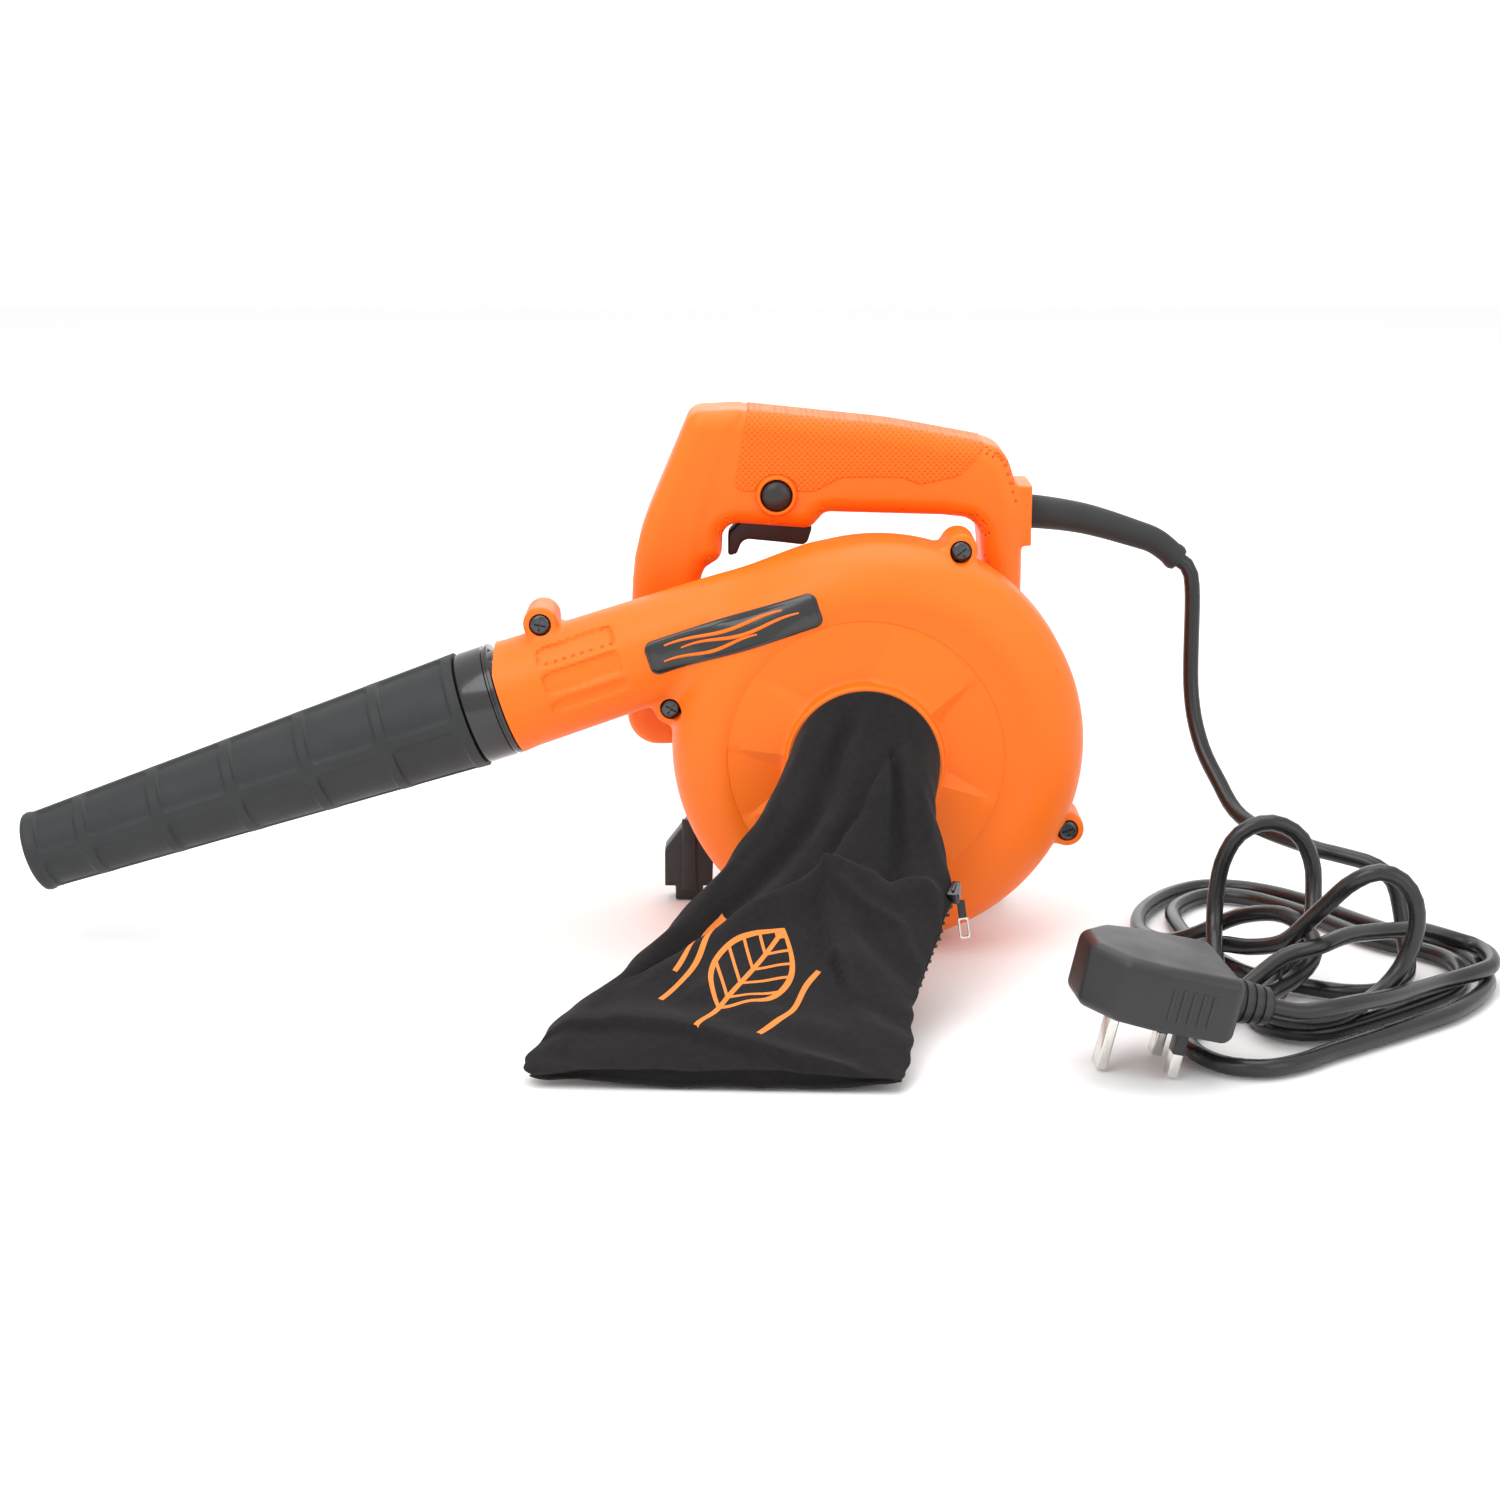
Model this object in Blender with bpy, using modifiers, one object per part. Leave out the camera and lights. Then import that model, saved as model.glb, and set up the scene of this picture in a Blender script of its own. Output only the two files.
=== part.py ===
"""Corded hand-held leaf blower: a centrifugal fan casing with a closed handle over the motor,
a rubber nozzle on the outlet tube and a cloth dust bag on the inlet.

Metres, +Z up.  The nozzle points to -X, the inlet and the bag face -Y, the motor is at +Y.
Everything hangs from one empty on the fan axis, so the numbers below are measured from there.
The world origin is under the middle of the machine, on the surface that it stands on.
"""
import math

import bmesh
import bpy
from mathutils import Matrix, Vector

# ---------------------------------------------------------------- driving dimensions
GAP = 0.0003                    # clearance between pieces that touch
WALL = 0.0025                   # moulded wall thickness
FAN_AXIS = (0.1244, 0.0290, 0.0800)    # fan axis at the casing's mid-plane, in the world

CASE_X, CASE_Z = 0.006, 0.0015  # the casing's circle is off the fan axis
CASE_R = 0.0815
CASE_FRONT, CASE_BACK = -0.029, 0.027
CASE_FLAT_R = 0.058             # where the flat front ends and the rounded rim starts
SEAM_Y = 0.006                  # parting plane of the two casing halves
INLET_R, INLET_WALL, INLET_LIP_Y = 0.0310, 0.0033, -0.036

TUBE_TILT = math.radians(18.5)  # outlet tube slopes down towards the nozzle
TUBE_H = 0.0622                 # tube axis to fan axis
TUBE_S = -0.128                 # end of the tube, along its axis
TUBE_R, TUBE_ROOT_R = 0.02275, 0.0202
COLLAR_LEN, SPIGOT_R, SPIGOT_LEN = 0.0150, 0.0200, 0.0270
NOZZLE_LEN, NOZZLE_R, NOZZLE_TIP_R = 0.1870, 0.0235, 0.01575

BOSSES = ((-0.1270, 0.0495), (-0.0758, 0.0160), (0.0376, 0.0785), (0.0822, -0.0340))
BOSS_R, BOSS_FRONT, BOSS_BACK = 0.0068, -0.009, 0.015
SCREW_R, SCREW_HEAD_R, SCREW_HEAD_H = 0.0018, 0.0042, 0.0026

BARREL_R, BARREL_END = 0.0365, 0.100
CAP_END = 0.122
SHAFT_R = 0.0040
ROTOR_CORE_R, ROTOR_CORE = 0.0180, (0.044, 0.080)
COMMUTATOR_R, COMMUTATOR = 0.0105, (0.0895, 0.1030)
IMPELLER_R, IMPELLER_BACK = 0.0620, 0.0190

HANDLE_FRONT, HANDLE_SPLIT, HANDLE_BACK = CASE_BACK + GAP, 0.047, 0.0667
HANDLE_MID = HANDLE_SPLIT
HANDLE_ROUND = 0.0055
TRIGGER_PIVOT = (-0.0245, 0.0858)
BUTTON_X, BUTTON_Z, BUTTON_R = -0.0340, 0.0950, 0.0062
GUARD_Z = 0.0855
CORD_R = 0.00325

FLOOR = -FAN_AXIS[2]

# corners of the handle's outline and of its finger opening: x, z and corner radius
HANDLE_CORNERS = (
    (-0.0955, -0.0090, 0.018), (-0.0915, 0.0740, 0.080), (-0.0685, 0.1280, 0.007),
    (-0.0460, 0.1290, 0.006), (0.0120, 0.1230, 0.100), (0.0580, 0.1145, 0.014),
    (0.0662, 0.0900, 0.020), (0.0662, -0.0090, 0.014),
)
OPENING_CORNERS = (
    (-0.0660, 0.0500, 0.003), (-0.0640, 0.0630, 0.004), (-0.0554, 0.0685, 0.0065),
    (-0.0554, 0.0825, 0.006), (-0.0200, 0.0800, 0.0065), (-0.0140, 0.0868, 0.004),
    (0.0330, 0.0855, 0.020), (0.0470, 0.0840, 0.008), (0.0505, 0.0500, 0.003),
)
PANEL_CORNERS = (
    (-0.0480, 0.1190, 0.002), (-0.0515, 0.0965, 0.004), (-0.0185, 0.0965, 0.004),
    (-0.0080, 0.1022, 0.006), (0.0160, 0.1022, 0.006), (0.0235, 0.0992, 0.006),
    (0.0395, 0.1028, 0.006), (0.0480, 0.1120, 0.002),
)
TRIGGER_CORNERS = (
    (-0.0536, 0.0680, 0.0012), (-0.0500, 0.0690, 0.0015), (-0.0475, 0.0752, 0.0050),
    (-0.0330, 0.0738, 0.0200), (-0.0215, 0.0725, 0.0030), (-0.0195, 0.0790, 0.0020),
    (-0.0195, 0.0885, 0.0020), (-0.0300, 0.0885, 0.0020), (-0.0330, 0.0862, 0.0010),
    (-0.0450, 0.0862, 0.0030), (-0.0536, 0.0775, 0.0040),
)
FOOT_CORNERS = (
    (-0.0300, -0.0200, 0), (-0.0690, -0.0430, 0.006), (-0.0805, -0.0580, 0.004),
    (-0.0805, -0.0740, 0), (-0.0760, -0.0740, 0), (-0.0760, FLOOR, 0),
    (-0.0645, FLOOR, 0), (-0.0645, -0.0740, 0), (-0.0605, -0.0740, 0),
    (-0.0600, -0.0580, 0.004), (-0.0200, -0.0480, 0.006), (0.0200, -0.0480, 0.006),
    (0.0470, -0.0580, 0.004), (0.0475, FLOOR, 0), (0.0620, FLOOR, 0),
    (0.0620, -0.0580, 0.006), (0.0300, -0.0200, 0),
)
HANDLE_SCREWS = ((-0.0770, 0.0300), (-0.0580, 0.1120), (0.0500, 0.1030))
CAP_EAR_X = 0.0406

# the dust bag, neck to hem: centre, half width across, half thickness (x, y, z each)
BAG_RINGS = (
    ((0.0000, -0.0365, 0.0000), (0.0290, 0.000, 0.000), (0.000, 0.000, 0.0290)),
    ((-0.0050, -0.0600, -0.0120), (0.0310, 0.000, -0.002), (0.000, 0.012, 0.0240)),
    ((-0.0100, -0.0850, -0.0300), (0.0400, 0.000, -0.006), (0.000, 0.013, 0.0170)),
    ((-0.0250, -0.1080, -0.0460), (0.0475, 0.000, -0.003), (0.000, 0.010, 0.0140)),
    ((-0.0380, -0.1280, -0.0575), (0.0540, 0.000, -0.001), (0.000, 0.006, 0.0115)),
    ((-0.0500, -0.1480, -0.0660), (0.0630, 0.000, 0.000), (0.000, 0.003, 0.0090)),
    ((-0.0560, -0.1680, -0.0730), (0.0665, -0.002, 0.000), (0.000, 0.001, 0.0068)),
    ((-0.0565, -0.1770, -0.0755), (0.0640, -0.003, 0.000), (0.000, 0.000, 0.0030)),
)
BAG_SIDES = 20
ZIP_AT, ZIP_RUN = (0.0317, -0.0860, -0.0366), (-0.014, -0.043, -0.022)

# the plug stands on its three pins: earth pin's tip and the yaw of the body
PLUG_TIP, PLUG_YAW = (0.0780, -0.1560), math.radians(6)
EARTH_LEN, LIVE_LEN = 0.0227, 0.0177
PIN_PITCH, LIVE_SPREAD = 0.0222, 0.0111
PLUG_TILT = math.asin((EARTH_LEN - LIVE_LEN) / PIN_PITCH)
PLUG_CORD_X, PLUG_CORD_Z = 0.0535, 0.0100

# route of the cord guard and of the free cord, from the handle to the plug
GUARD_ROUTE = ((0.0600, 0.0470, 0.0855), (0.0720, 0.0470, 0.0855),
               (0.0920, 0.0470, 0.0826), (0.1130, 0.0465, 0.0765),
               (0.1220, 0.0458, 0.0730), (0.1300, 0.0450, 0.0668))
GUARD_ROOT_R, GUARD_TIP_R = 0.0072, 0.0050
CORD_ROUTE = (
    # hanging from the guard, over the back of the pile and down to the surface
    (0.1305, 0.0449, 0.0664), (0.135, 0.0444, 0.0625), (0.137, 0.0438, 0.052),
    (0.137, 0.038, 0.014), (0.140, 0.030, -0.006), (0.146, 0.019, -0.020), (0.155, 0.004, -0.033),
    (0.176, -0.022, -0.037), (0.188, -0.028, -0.039), (0.199, -0.034, -0.041),
    (0.206, -0.038, -0.046), (0.209, -0.041, -0.056), (0.210, -0.047, -0.068),
    (0.209, -0.059, -0.0757),
    # across the surface and once round both lobes of the hank
    (0.203, -0.072, -0.0764), (0.192, -0.083, -0.0764), (0.180, -0.084, -0.0764),
    (0.169, -0.079, -0.0764), (0.157, -0.071, -0.0764), (0.146, -0.062, -0.0764),
    (0.138, -0.044, -0.0764), (0.131, -0.021, -0.0764), (0.129, 0.013, -0.0764),
    (0.137, 0.031, -0.0764), (0.150, 0.041, -0.0764), (0.164, 0.037, -0.0764),
    (0.176, 0.025, -0.0764), (0.188, 0.008, -0.0764), (0.199, -0.012, -0.0764),
    (0.210, -0.026, -0.0764), (0.222, -0.035, -0.0764), (0.229, -0.047, -0.0764),
    (0.229, -0.063, -0.0764), (0.221, -0.080, -0.0764), (0.209, -0.093, -0.0764),
    (0.191, -0.108, -0.0764), (0.174, -0.121, -0.0764), (0.163, -0.128, -0.0764),
    (0.152, -0.128, -0.0764), (0.143, -0.120, -0.0764), (0.141, -0.108, -0.0764),
    (0.145, -0.094, -0.0764), (0.153, -0.083, -0.0732), (0.162, -0.072, -0.0680),
    # the standing loop beside the casing
    (0.171, -0.057, -0.057), (0.173, -0.050, -0.046), (0.172, -0.048, -0.035),
    (0.166, -0.048, -0.0245), (0.155, -0.048, -0.020), (0.144, -0.048, -0.0245),
    (0.138, -0.048, -0.035), (0.136, -0.048, -0.047), (0.135, -0.051, -0.058),
    (0.134, -0.060, -0.067),
    # round behind the plug
    (0.133, -0.078, -0.0745), (0.131, -0.091, -0.0764), (0.125, -0.101, -0.0764),
    (0.115, -0.104, -0.0764), (0.105, -0.100, -0.0764), (0.099, -0.089, -0.0764),
    (0.100, -0.075, -0.0764), (0.108, -0.060, -0.0764),
    (0.121, -0.049, -0.073), (0.136, -0.048, -0.069), (0.148, -0.058, -0.067),
    # the standing loop in front
    (0.157, -0.074, -0.060), (0.163, -0.086, -0.049), (0.170, -0.093, -0.038),
    (0.177, -0.098, -0.029), (0.186, -0.100, -0.0245), (0.195, -0.101, -0.028),
    (0.200, -0.102, -0.037), (0.200, -0.102, -0.049), (0.195, -0.103, -0.061),
    (0.187, -0.108, -0.068),
    # back through the middle
    (0.177, -0.119, -0.0695), (0.167, -0.130, -0.0695), (0.155, -0.135, -0.0695),
    (0.144, -0.130, -0.0695), (0.141, -0.118, -0.0695), (0.147, -0.106, -0.0695),
    (0.157, -0.097, -0.067), (0.166, -0.086, -0.063), (0.168, -0.073, -0.0575),
    (0.160, -0.058, -0.054),
    (0.146, -0.044, -0.059),
    # the outer lap of both lobes, then under the plug
    (0.131, -0.038, -0.068), (0.120, -0.029, -0.074), (0.113, -0.010, -0.0764),
    (0.116, 0.014, -0.0764), (0.128, 0.037, -0.0764), (0.145, 0.052, -0.0764),
    (0.162, 0.052, -0.0764), (0.177, 0.043, -0.0764), (0.190, 0.028, -0.0764),
    (0.201, 0.009, -0.0764), (0.212, -0.007, -0.0764), (0.224, -0.021, -0.0764),
    (0.236, -0.036, -0.0764), (0.240, -0.058, -0.0764), (0.233, -0.081, -0.0764),
    (0.217, -0.104, -0.0764), (0.197, -0.121, -0.0764), (0.176, -0.137, -0.0764),
    (0.160, -0.149, -0.0764), (0.148, -0.159, -0.0764), (0.135, -0.165, -0.0764),
    (0.122, -0.162, -0.0764), (0.114, -0.151, -0.0764), (0.112, -0.136, -0.0764),
    (0.118, -0.121, -0.0764), (0.129, -0.110, -0.0735), (0.141, -0.103, -0.0655),
    (0.153, -0.099, -0.0575),
    # the top lap of the right lobe, and into the plug
    (0.166, -0.096, -0.0545), (0.178, -0.085, -0.054), (0.190, -0.074, -0.056),
    (0.203, -0.065, -0.058), (0.213, -0.057, -0.0605), (0.222, -0.050, -0.0645),
    (0.231, -0.047, -0.0680), (0.239, -0.0505, -0.0697), (0.2425, -0.0595, -0.0697),
    (0.2395, -0.0705, -0.0697), (0.229, -0.081, -0.0697), (0.213, -0.093, -0.0697), (0.190, -0.121, -0.065), (0.173, -0.137, -0.062),
    (0.158, -0.146, -0.0615), (0.1485, -0.1486, -0.0616), (0.1387, -0.1496, -0.0594),
)
END_RUN = 0.006                 # the cord is straight for this far at both ends

PARTS = "corded_leaf_blower"
COLORS = {
    "orange": ((0.90, 0.20, 0.02), 0.42, 0.0),
    "orange_grip": ((0.86, 0.18, 0.02), 0.60, 0.0),
    "black_gloss": ((0.012, 0.012, 0.013), 0.22, 0.0),
    "black_matt": ((0.022, 0.022, 0.024), 0.55, 0.0),
    "rubber": ((0.030, 0.032, 0.033), 0.70, 0.0),
    "cloth": ((0.020, 0.019, 0.020), 0.90, 0.0),
    "cord": ((0.012, 0.011, 0.011), 0.25, 0.0),
    "steel": ((0.60, 0.60, 0.60), 0.35, 1.0),
    "nickel": ((0.72, 0.70, 0.66), 0.25, 1.0),
    "dark_screw": ((0.030, 0.030, 0.032), 0.35, 1.0),
    "copper": ((0.72, 0.33, 0.15), 0.38, 1.0),
    "brass": ((0.75, 0.58, 0.26), 0.35, 1.0),
    "carbon": ((0.050, 0.050, 0.052), 0.60, 0.0),
    "iron": ((0.32, 0.33, 0.35), 0.45, 1.0),
    "white_nylon": ((0.75, 0.74, 0.70), 0.50, 0.0),
}


# ---------------------------------------------------------------- scene helpers
def clear_scene():
    for item in list(bpy.data.objects):
        bpy.data.objects.remove(item, do_unlink=True)


def collection(name):
    made = bpy.data.collections.new(name)
    bpy.context.scene.collection.children.link(made)
    return made


def material(name):
    made = bpy.data.materials.get(name)
    if made:
        return made
    color, roughness, metallic = COLORS[name]
    made = bpy.data.materials.new(name)
    made.use_nodes = True
    shader = made.node_tree.nodes["Principled BSDF"]
    shader.inputs["Base Color"].default_value = (*color, 1.0)
    shader.inputs["Roughness"].default_value = roughness
    shader.inputs["Metallic"].default_value = metallic
    made.diffuse_color = (*color, 1.0)
    return made


def empty(name, parent, location=(0, 0, 0), rotation=(0, 0, 0)):
    made = bpy.data.objects.new(name, None)
    made.empty_display_size = 0.01
    made.location = location
    made.rotation_euler = rotation
    made.parent = parent
    parts.objects.link(made)
    return made


def add(name, mesh, finish, parent, location=(0, 0, 0), rotation=(0, 0, 0)):
    """A part where finish names its material, a cutter where finish is None."""
    made = bpy.data.objects.new(name, mesh)
    made.location = location
    made.rotation_euler = rotation
    made.parent = parent
    if finish is None:
        made.hide_render = True
        made.display_type = "WIRE"
        cutters.objects.link(made)
        return made
    mesh.materials.append(material(finish))
    mesh.shade_smooth()
    mesh.set_sharp_from_angle(angle=math.radians(35))
    parts.objects.link(made)
    return made


def mesh_from(bm, name):
    mesh = bpy.data.meshes.new(name)
    bmesh.ops.recalc_face_normals(bm, faces=bm.faces)
    bm.to_mesh(mesh)
    bm.free()
    return mesh


def cut(target, cutter, operation="DIFFERENCE"):
    step = target.modifiers.new(f"{operation.lower()}_{cutter.name}", "BOOLEAN")
    step.operation = operation
    step.object = cutter
    step.solver = "EXACT"


# ---------------------------------------------------------------- shape helpers
def turned(name, finish, profile, parent, steps=32, **place):
    """A body of revolution about local Z from (radius, height) points in order."""
    area = sum(a[0] * b[1] - b[0] * a[1] for a, b in zip(profile, profile[1:] + profile[:1]))
    points = list(reversed(profile)) if area > 0 else list(profile)
    closed = min(p[0] for p in points) > 0
    bm = bmesh.new()
    verts = [bm.verts.new((r, 0, z)) for r, z in points]
    for a, b in zip(verts, verts[1:]):
        bm.edges.new((a, b))
    if closed:
        bm.edges.new((verts[-1], verts[0]))
    mesh = bpy.data.meshes.new(name)
    bm.to_mesh(mesh)
    bm.free()
    made = add(name, mesh, finish, parent, **place)
    screw = made.modifiers.new("screw", "SCREW")
    screw.steps = steps
    screw.render_steps = steps
    screw.use_merge_vertices = True
    screw.merge_threshold = 0.00001
    return made


def boxes(name, finish, parent, blocks, **place):
    """One mesh of boxes, each given by its centre, its size and an optional matrix."""
    bm = bmesh.new()
    for block in blocks:
        centre, size = block[0], block[1]
        matrix = block[2] if len(block) > 2 else Matrix.Identity(4)
        shape = matrix @ Matrix.Translation(centre) @ Matrix.Diagonal((*size, 1))
        bmesh.ops.create_cube(bm, size=1, matrix=shape)
    return add(name, mesh_from(bm, name), finish, parent, **place)


def drum(name, finish, parent, radius, low, high, segments=32, **place):
    """A cylinder on the parent's Z axis."""
    bm = bmesh.new()
    shape = Matrix.Translation((0, 0, (low + high) / 2))
    bmesh.ops.create_cone(bm, cap_ends=True, segments=segments, radius1=radius,
                          radius2=radius, depth=high - low, matrix=shape)
    return add(name, mesh_from(bm, name), finish, parent, **place)


def rods(name, finish, parent, spots, radius, low, high, segments=14, **place):
    """One mesh of cylinders along local Y, at (x, z) spots."""
    bm = bmesh.new()
    turn = Matrix.Rotation(math.radians(90), 4, "X")
    for x, z in spots:
        shape = Matrix.Translation((x, (low + high) / 2, z)) @ turn
        bmesh.ops.create_cone(bm, cap_ends=True, segments=segments, radius1=radius,
                              radius2=radius, depth=high - low, matrix=shape)
    return add(name, mesh_from(bm, name), finish, parent, **place)


def rounded(corners, step=18):
    """Outline through corners (x, z, radius), each corner rounded by an arc."""
    points = []
    count = len(corners)
    for i, (x, z, radius) in enumerate(corners):
        here = Vector((x, z))
        if radius == 0:
            points.append(here)
            continue
        back = Vector(corners[i - 1][:2]) - here
        ahead = Vector(corners[(i + 1) % count][:2]) - here
        turn = math.pi - back.angle(ahead)
        reach = min(radius * math.tan(turn / 2), 0.45 * back.length, 0.45 * ahead.length)
        radius = reach / math.tan(turn / 2)
        middle = here + (back.normalized() + ahead.normalized()).normalized() * (
            radius / math.cos(turn / 2))
        start = here + back.normalized() * reach - middle
        end = here + ahead.normalized() * reach - middle
        sweep = start.angle_signed(end)
        pieces = max(1, round(math.degrees(turn) / step))
        for k in range(pieces + 1):
            angle = -sweep * k / pieces
            arm = Vector((start.x * math.cos(angle) - start.y * math.sin(angle),
                          start.x * math.sin(angle) + start.y * math.cos(angle)))
            points.append(middle + arm)
    return points


def moved(corners, inset):
    """The corners of an outline moved inwards, with the radii that keep it parallel."""
    area = sum(a[0] * b[1] - b[0] * a[1] for a, b in zip(corners, corners[1:] + corners[:1]))
    side = math.copysign(1, area)
    made = []
    for i, (x, z, radius) in enumerate(corners):
        here = Vector((x, z))
        into = (here - Vector(corners[i - 1][:2])).normalized()
        out = (Vector(corners[(i + 1) % len(corners)][:2]) - here).normalized()
        first, second = Vector((-into.y, into.x)), Vector((-out.y, out.x))
        spot = here + (first + second) / (1 + first.dot(second)) * side * inset
        shrink = math.copysign(1, into.cross(out)) * side * inset
        made.append((spot.x, spot.y, max(radius - shrink, 0.0005) if radius else 0))
    return made


def prism(name, finish, parent, outlines, levels, step=22, **place):
    """Outlines in XZ, the later ones holes, lofted through (y, inset) levels and capped."""
    bm = bmesh.new()
    rims = ([], [])
    for k, corners in enumerate(outlines):
        rows = []
        for y, inset in levels:
            outline = rounded(moved(corners, -inset if k else inset), step)
            rows.append([bm.verts.new((point.x, y, point.y)) for point in outline])
        for near, far in zip(rows, rows[1:]):
            for a, b in zip(near, near[1:] + near[:1]):
                c, d = far[near.index(b)], far[near.index(a)]
                bm.faces.new((a, b, c, d))
        for rim, row in zip(rims, (rows[0], rows[-1])):
            rim += [bm.edges.get(pair) for pair in zip(row, row[1:] + row[:1])]
    for rim in rims:
        bmesh.ops.triangle_fill(bm, use_beauty=True, edges=rim)
    return add(name, mesh_from(bm, name), finish, parent, **place)


def curve_mesh(name, curve):
    """A curve's own mesh, with its caps welded on."""
    holder = bpy.data.objects.new(f"{name}_curve", curve)
    bpy.context.scene.collection.objects.link(holder)
    bpy.context.view_layer.update()
    seen = holder.evaluated_get(bpy.context.evaluated_depsgraph_get())
    mesh = bpy.data.meshes.new_from_object(seen)
    bpy.data.objects.remove(holder)
    bm = bmesh.new()
    bm.from_mesh(mesh)
    bmesh.ops.remove_doubles(bm, verts=bm.verts, dist=0.00001)
    bmesh.ops.recalc_face_normals(bm, faces=bm.faces)
    bm.to_mesh(mesh)
    bm.free()
    mesh.name = name
    return mesh


def smooth_path(route, spacing):
    """Points about one spacing apart on the smooth curve through a route."""
    nodes = [Vector(p) for p in route]
    nodes = [2 * nodes[0] - nodes[1]] + nodes + [2 * nodes[-1] - nodes[-2]]
    fine = []
    for a, b, c, d in zip(nodes, nodes[1:], nodes[2:], nodes[3:]):
        for k in range(16):
            t = k / 16
            fine.append(0.5 * (2 * b + (c - a) * t + (2 * a - 5 * b + 4 * c - d) * t ** 2
                               + (3 * b - a - 3 * c + d) * t ** 3))
    fine.append(nodes[-2])
    lengths = [0.0]
    for a, b in zip(fine, fine[1:]):
        lengths.append(lengths[-1] + (b - a).length)
    count = max(2, round(lengths[-1] / spacing))
    path, k = [], 0
    for i in range(count + 1):
        want = lengths[-1] * i / count
        while k < len(fine) - 2 and lengths[k + 1] < want:
            k += 1
        share = (want - lengths[k]) / (lengths[k + 1] - lengths[k])
        path.append(fine[k].lerp(fine[k + 1], share))
    return path


def tube(name, finish, parent, path, radius, resolution=3, radii=None, ring=False):
    """A round tube along a path, with closed ends, or a closed ring."""
    curve = bpy.data.curves.new(name, "CURVE")
    curve.dimensions = "3D"
    curve.bevel_depth = radius
    curve.bevel_resolution = resolution
    curve.use_fill_caps = True
    spline = curve.splines.new("POLY")
    spline.use_cyclic_u = ring
    spline.points.add(len(path) - 1)
    for i, (point, place) in enumerate(zip(spline.points, path)):
        point.co = (*place, 1)
        point.radius = radii[i] / radius if radii else 1.0
    return add(name, curve_mesh(name, curve), finish, parent)


def arc(middle_r, middle_y, reach_r, reach_y, start, end, pieces):
    """Points of a quarter ellipse in a turned profile, by angle in degrees."""
    points = []
    for k in range(pieces + 1):
        angle = math.radians(start + (end - start) * k / pieces)
        points.append((middle_r + reach_r * math.cos(angle), middle_y + reach_y * math.sin(angle)))
    return points


# ---------------------------------------------------------------- fan casing
def case_profile(inset):
    """Half section of the casing about the centre of its circle, moved inwards by inset."""
    radius = CASE_R - inset
    front, back = CASE_FRONT + inset, CASE_BACK - inset
    flat, rim = CASE_FLAT_R - inset / 2, 0.008
    profile = [(0, front)]
    profile += arc(flat, -rim, radius - flat, -rim - front, -90, 0, 4)
    profile += arc(flat + 0.003, rim, radius - flat - 0.003, back - rim, 0, 90, 3)
    profile.append((0, back))
    return profile


def tube_profile(inset, overrun):
    return [(0, overrun), (TUBE_R - inset, overrun), (TUBE_ROOT_R - inset, -0.118 + 4 * inset),
            (0, -0.118 + 4 * inset)]


def circle(radius, count):
    """Corners of a regular outline in XZ."""
    return [(radius * math.cos(math.tau * k / count), radius * math.sin(math.tau * k / count), 0)
            for k in range(count)]


def disc(radius, low, high):
    return [(0, low), (radius, low), (radius, high), (0, high)]


def ring(inner, outer, low, high):
    return [(inner, low), (outer, low), (outer, high), (inner, high)]


def boss_webs(name):
    """Short ribs that tie each screw boss to the wall beside it."""
    blocks = []
    for (x, z), (dx, dz) in zip(BOSSES, ((0.3, -0.95), (0.9, -0.2), (-0.35, -0.93), (-0.9, 0.42))):
        turn = Matrix.Rotation(math.atan2(-dz, dx), 4, "Y")
        place = Matrix.Translation((x, 0, z)) @ turn
        depth = BOSS_BACK - BOSS_FRONT - 0.002
        blocks.append(((0.005, (BOSS_FRONT + BOSS_BACK) / 2, 0), (0.010, depth, 0.0116), place))
    return boxes(name, None, machine, blocks)


def casing_body(name):
    """The whole outer form of the casing: volute, outlet tube and bosses."""
    body = turned(name, "orange", case_profile(0), case, steps=32)
    cut(body, turned(f"{name}_tube", None, tube_profile(0, 0), outlet, steps=20), "UNION")
    spots = rods(f"{name}_bosses", None, machine, BOSSES, BOSS_R, BOSS_FRONT, BOSS_BACK)
    cut(body, spots, "UNION")
    cut(body, boss_webs(f"{name}_webs"), "UNION")
    return body


def hollow_casing(body, name, keep_front):
    """Cut the airway, the screw holes and the half that the other shell makes."""
    cut(body, turned(f"{name}_cavity", None, case_profile(WALL), case, steps=32))
    cut(body, turned(f"{name}_bore", None, tube_profile(WALL, 0.001), outlet, steps=20))
    side = 1 if keep_front else -1
    middle = SEAM_Y + side * (0.1 - GAP / 2)
    half = boxes(f"{name}_half", None, machine, [((-0.03, middle, 0.01), (0.4, 0.2, 0.3))])
    cut(body, half)
    if keep_front:
        cut(body, rods(f"{name}_holes", None, machine, BOSSES, SCREW_R + GAP, -0.02, 0.02))
        cut(body, rods(f"{name}_sinks", None, machine, BOSSES, SCREW_HEAD_R + GAP, -0.02,
                       BOSS_FRONT + 0.002))
    else:
        cut(body, rods(f"{name}_holes", None, machine, BOSSES, SCREW_R + GAP, 0, 0.0135))


def front_housing():
    body = casing_body("front_housing")
    cut(body, drum("inlet_boss", None, fan, INLET_R, INLET_LIP_Y, -0.0275), "UNION")
    pad = [((0, -0.0165, 0), (0.076, 0.0125, 0.018))]
    cut(body, boxes("badge_pad", None, badge_seat, pad), "UNION")
    hollow_casing(body, "front", True)
    cut(body, drum("inlet_hole", None, fan, INLET_R - INLET_WALL, -0.04, -0.02))
    pocket = [((0, -0.0400, 0), (0.0706, 0.0350, 0.0141))]
    cut(body, boxes("badge_pocket", None, badge_seat, pocket))


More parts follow.
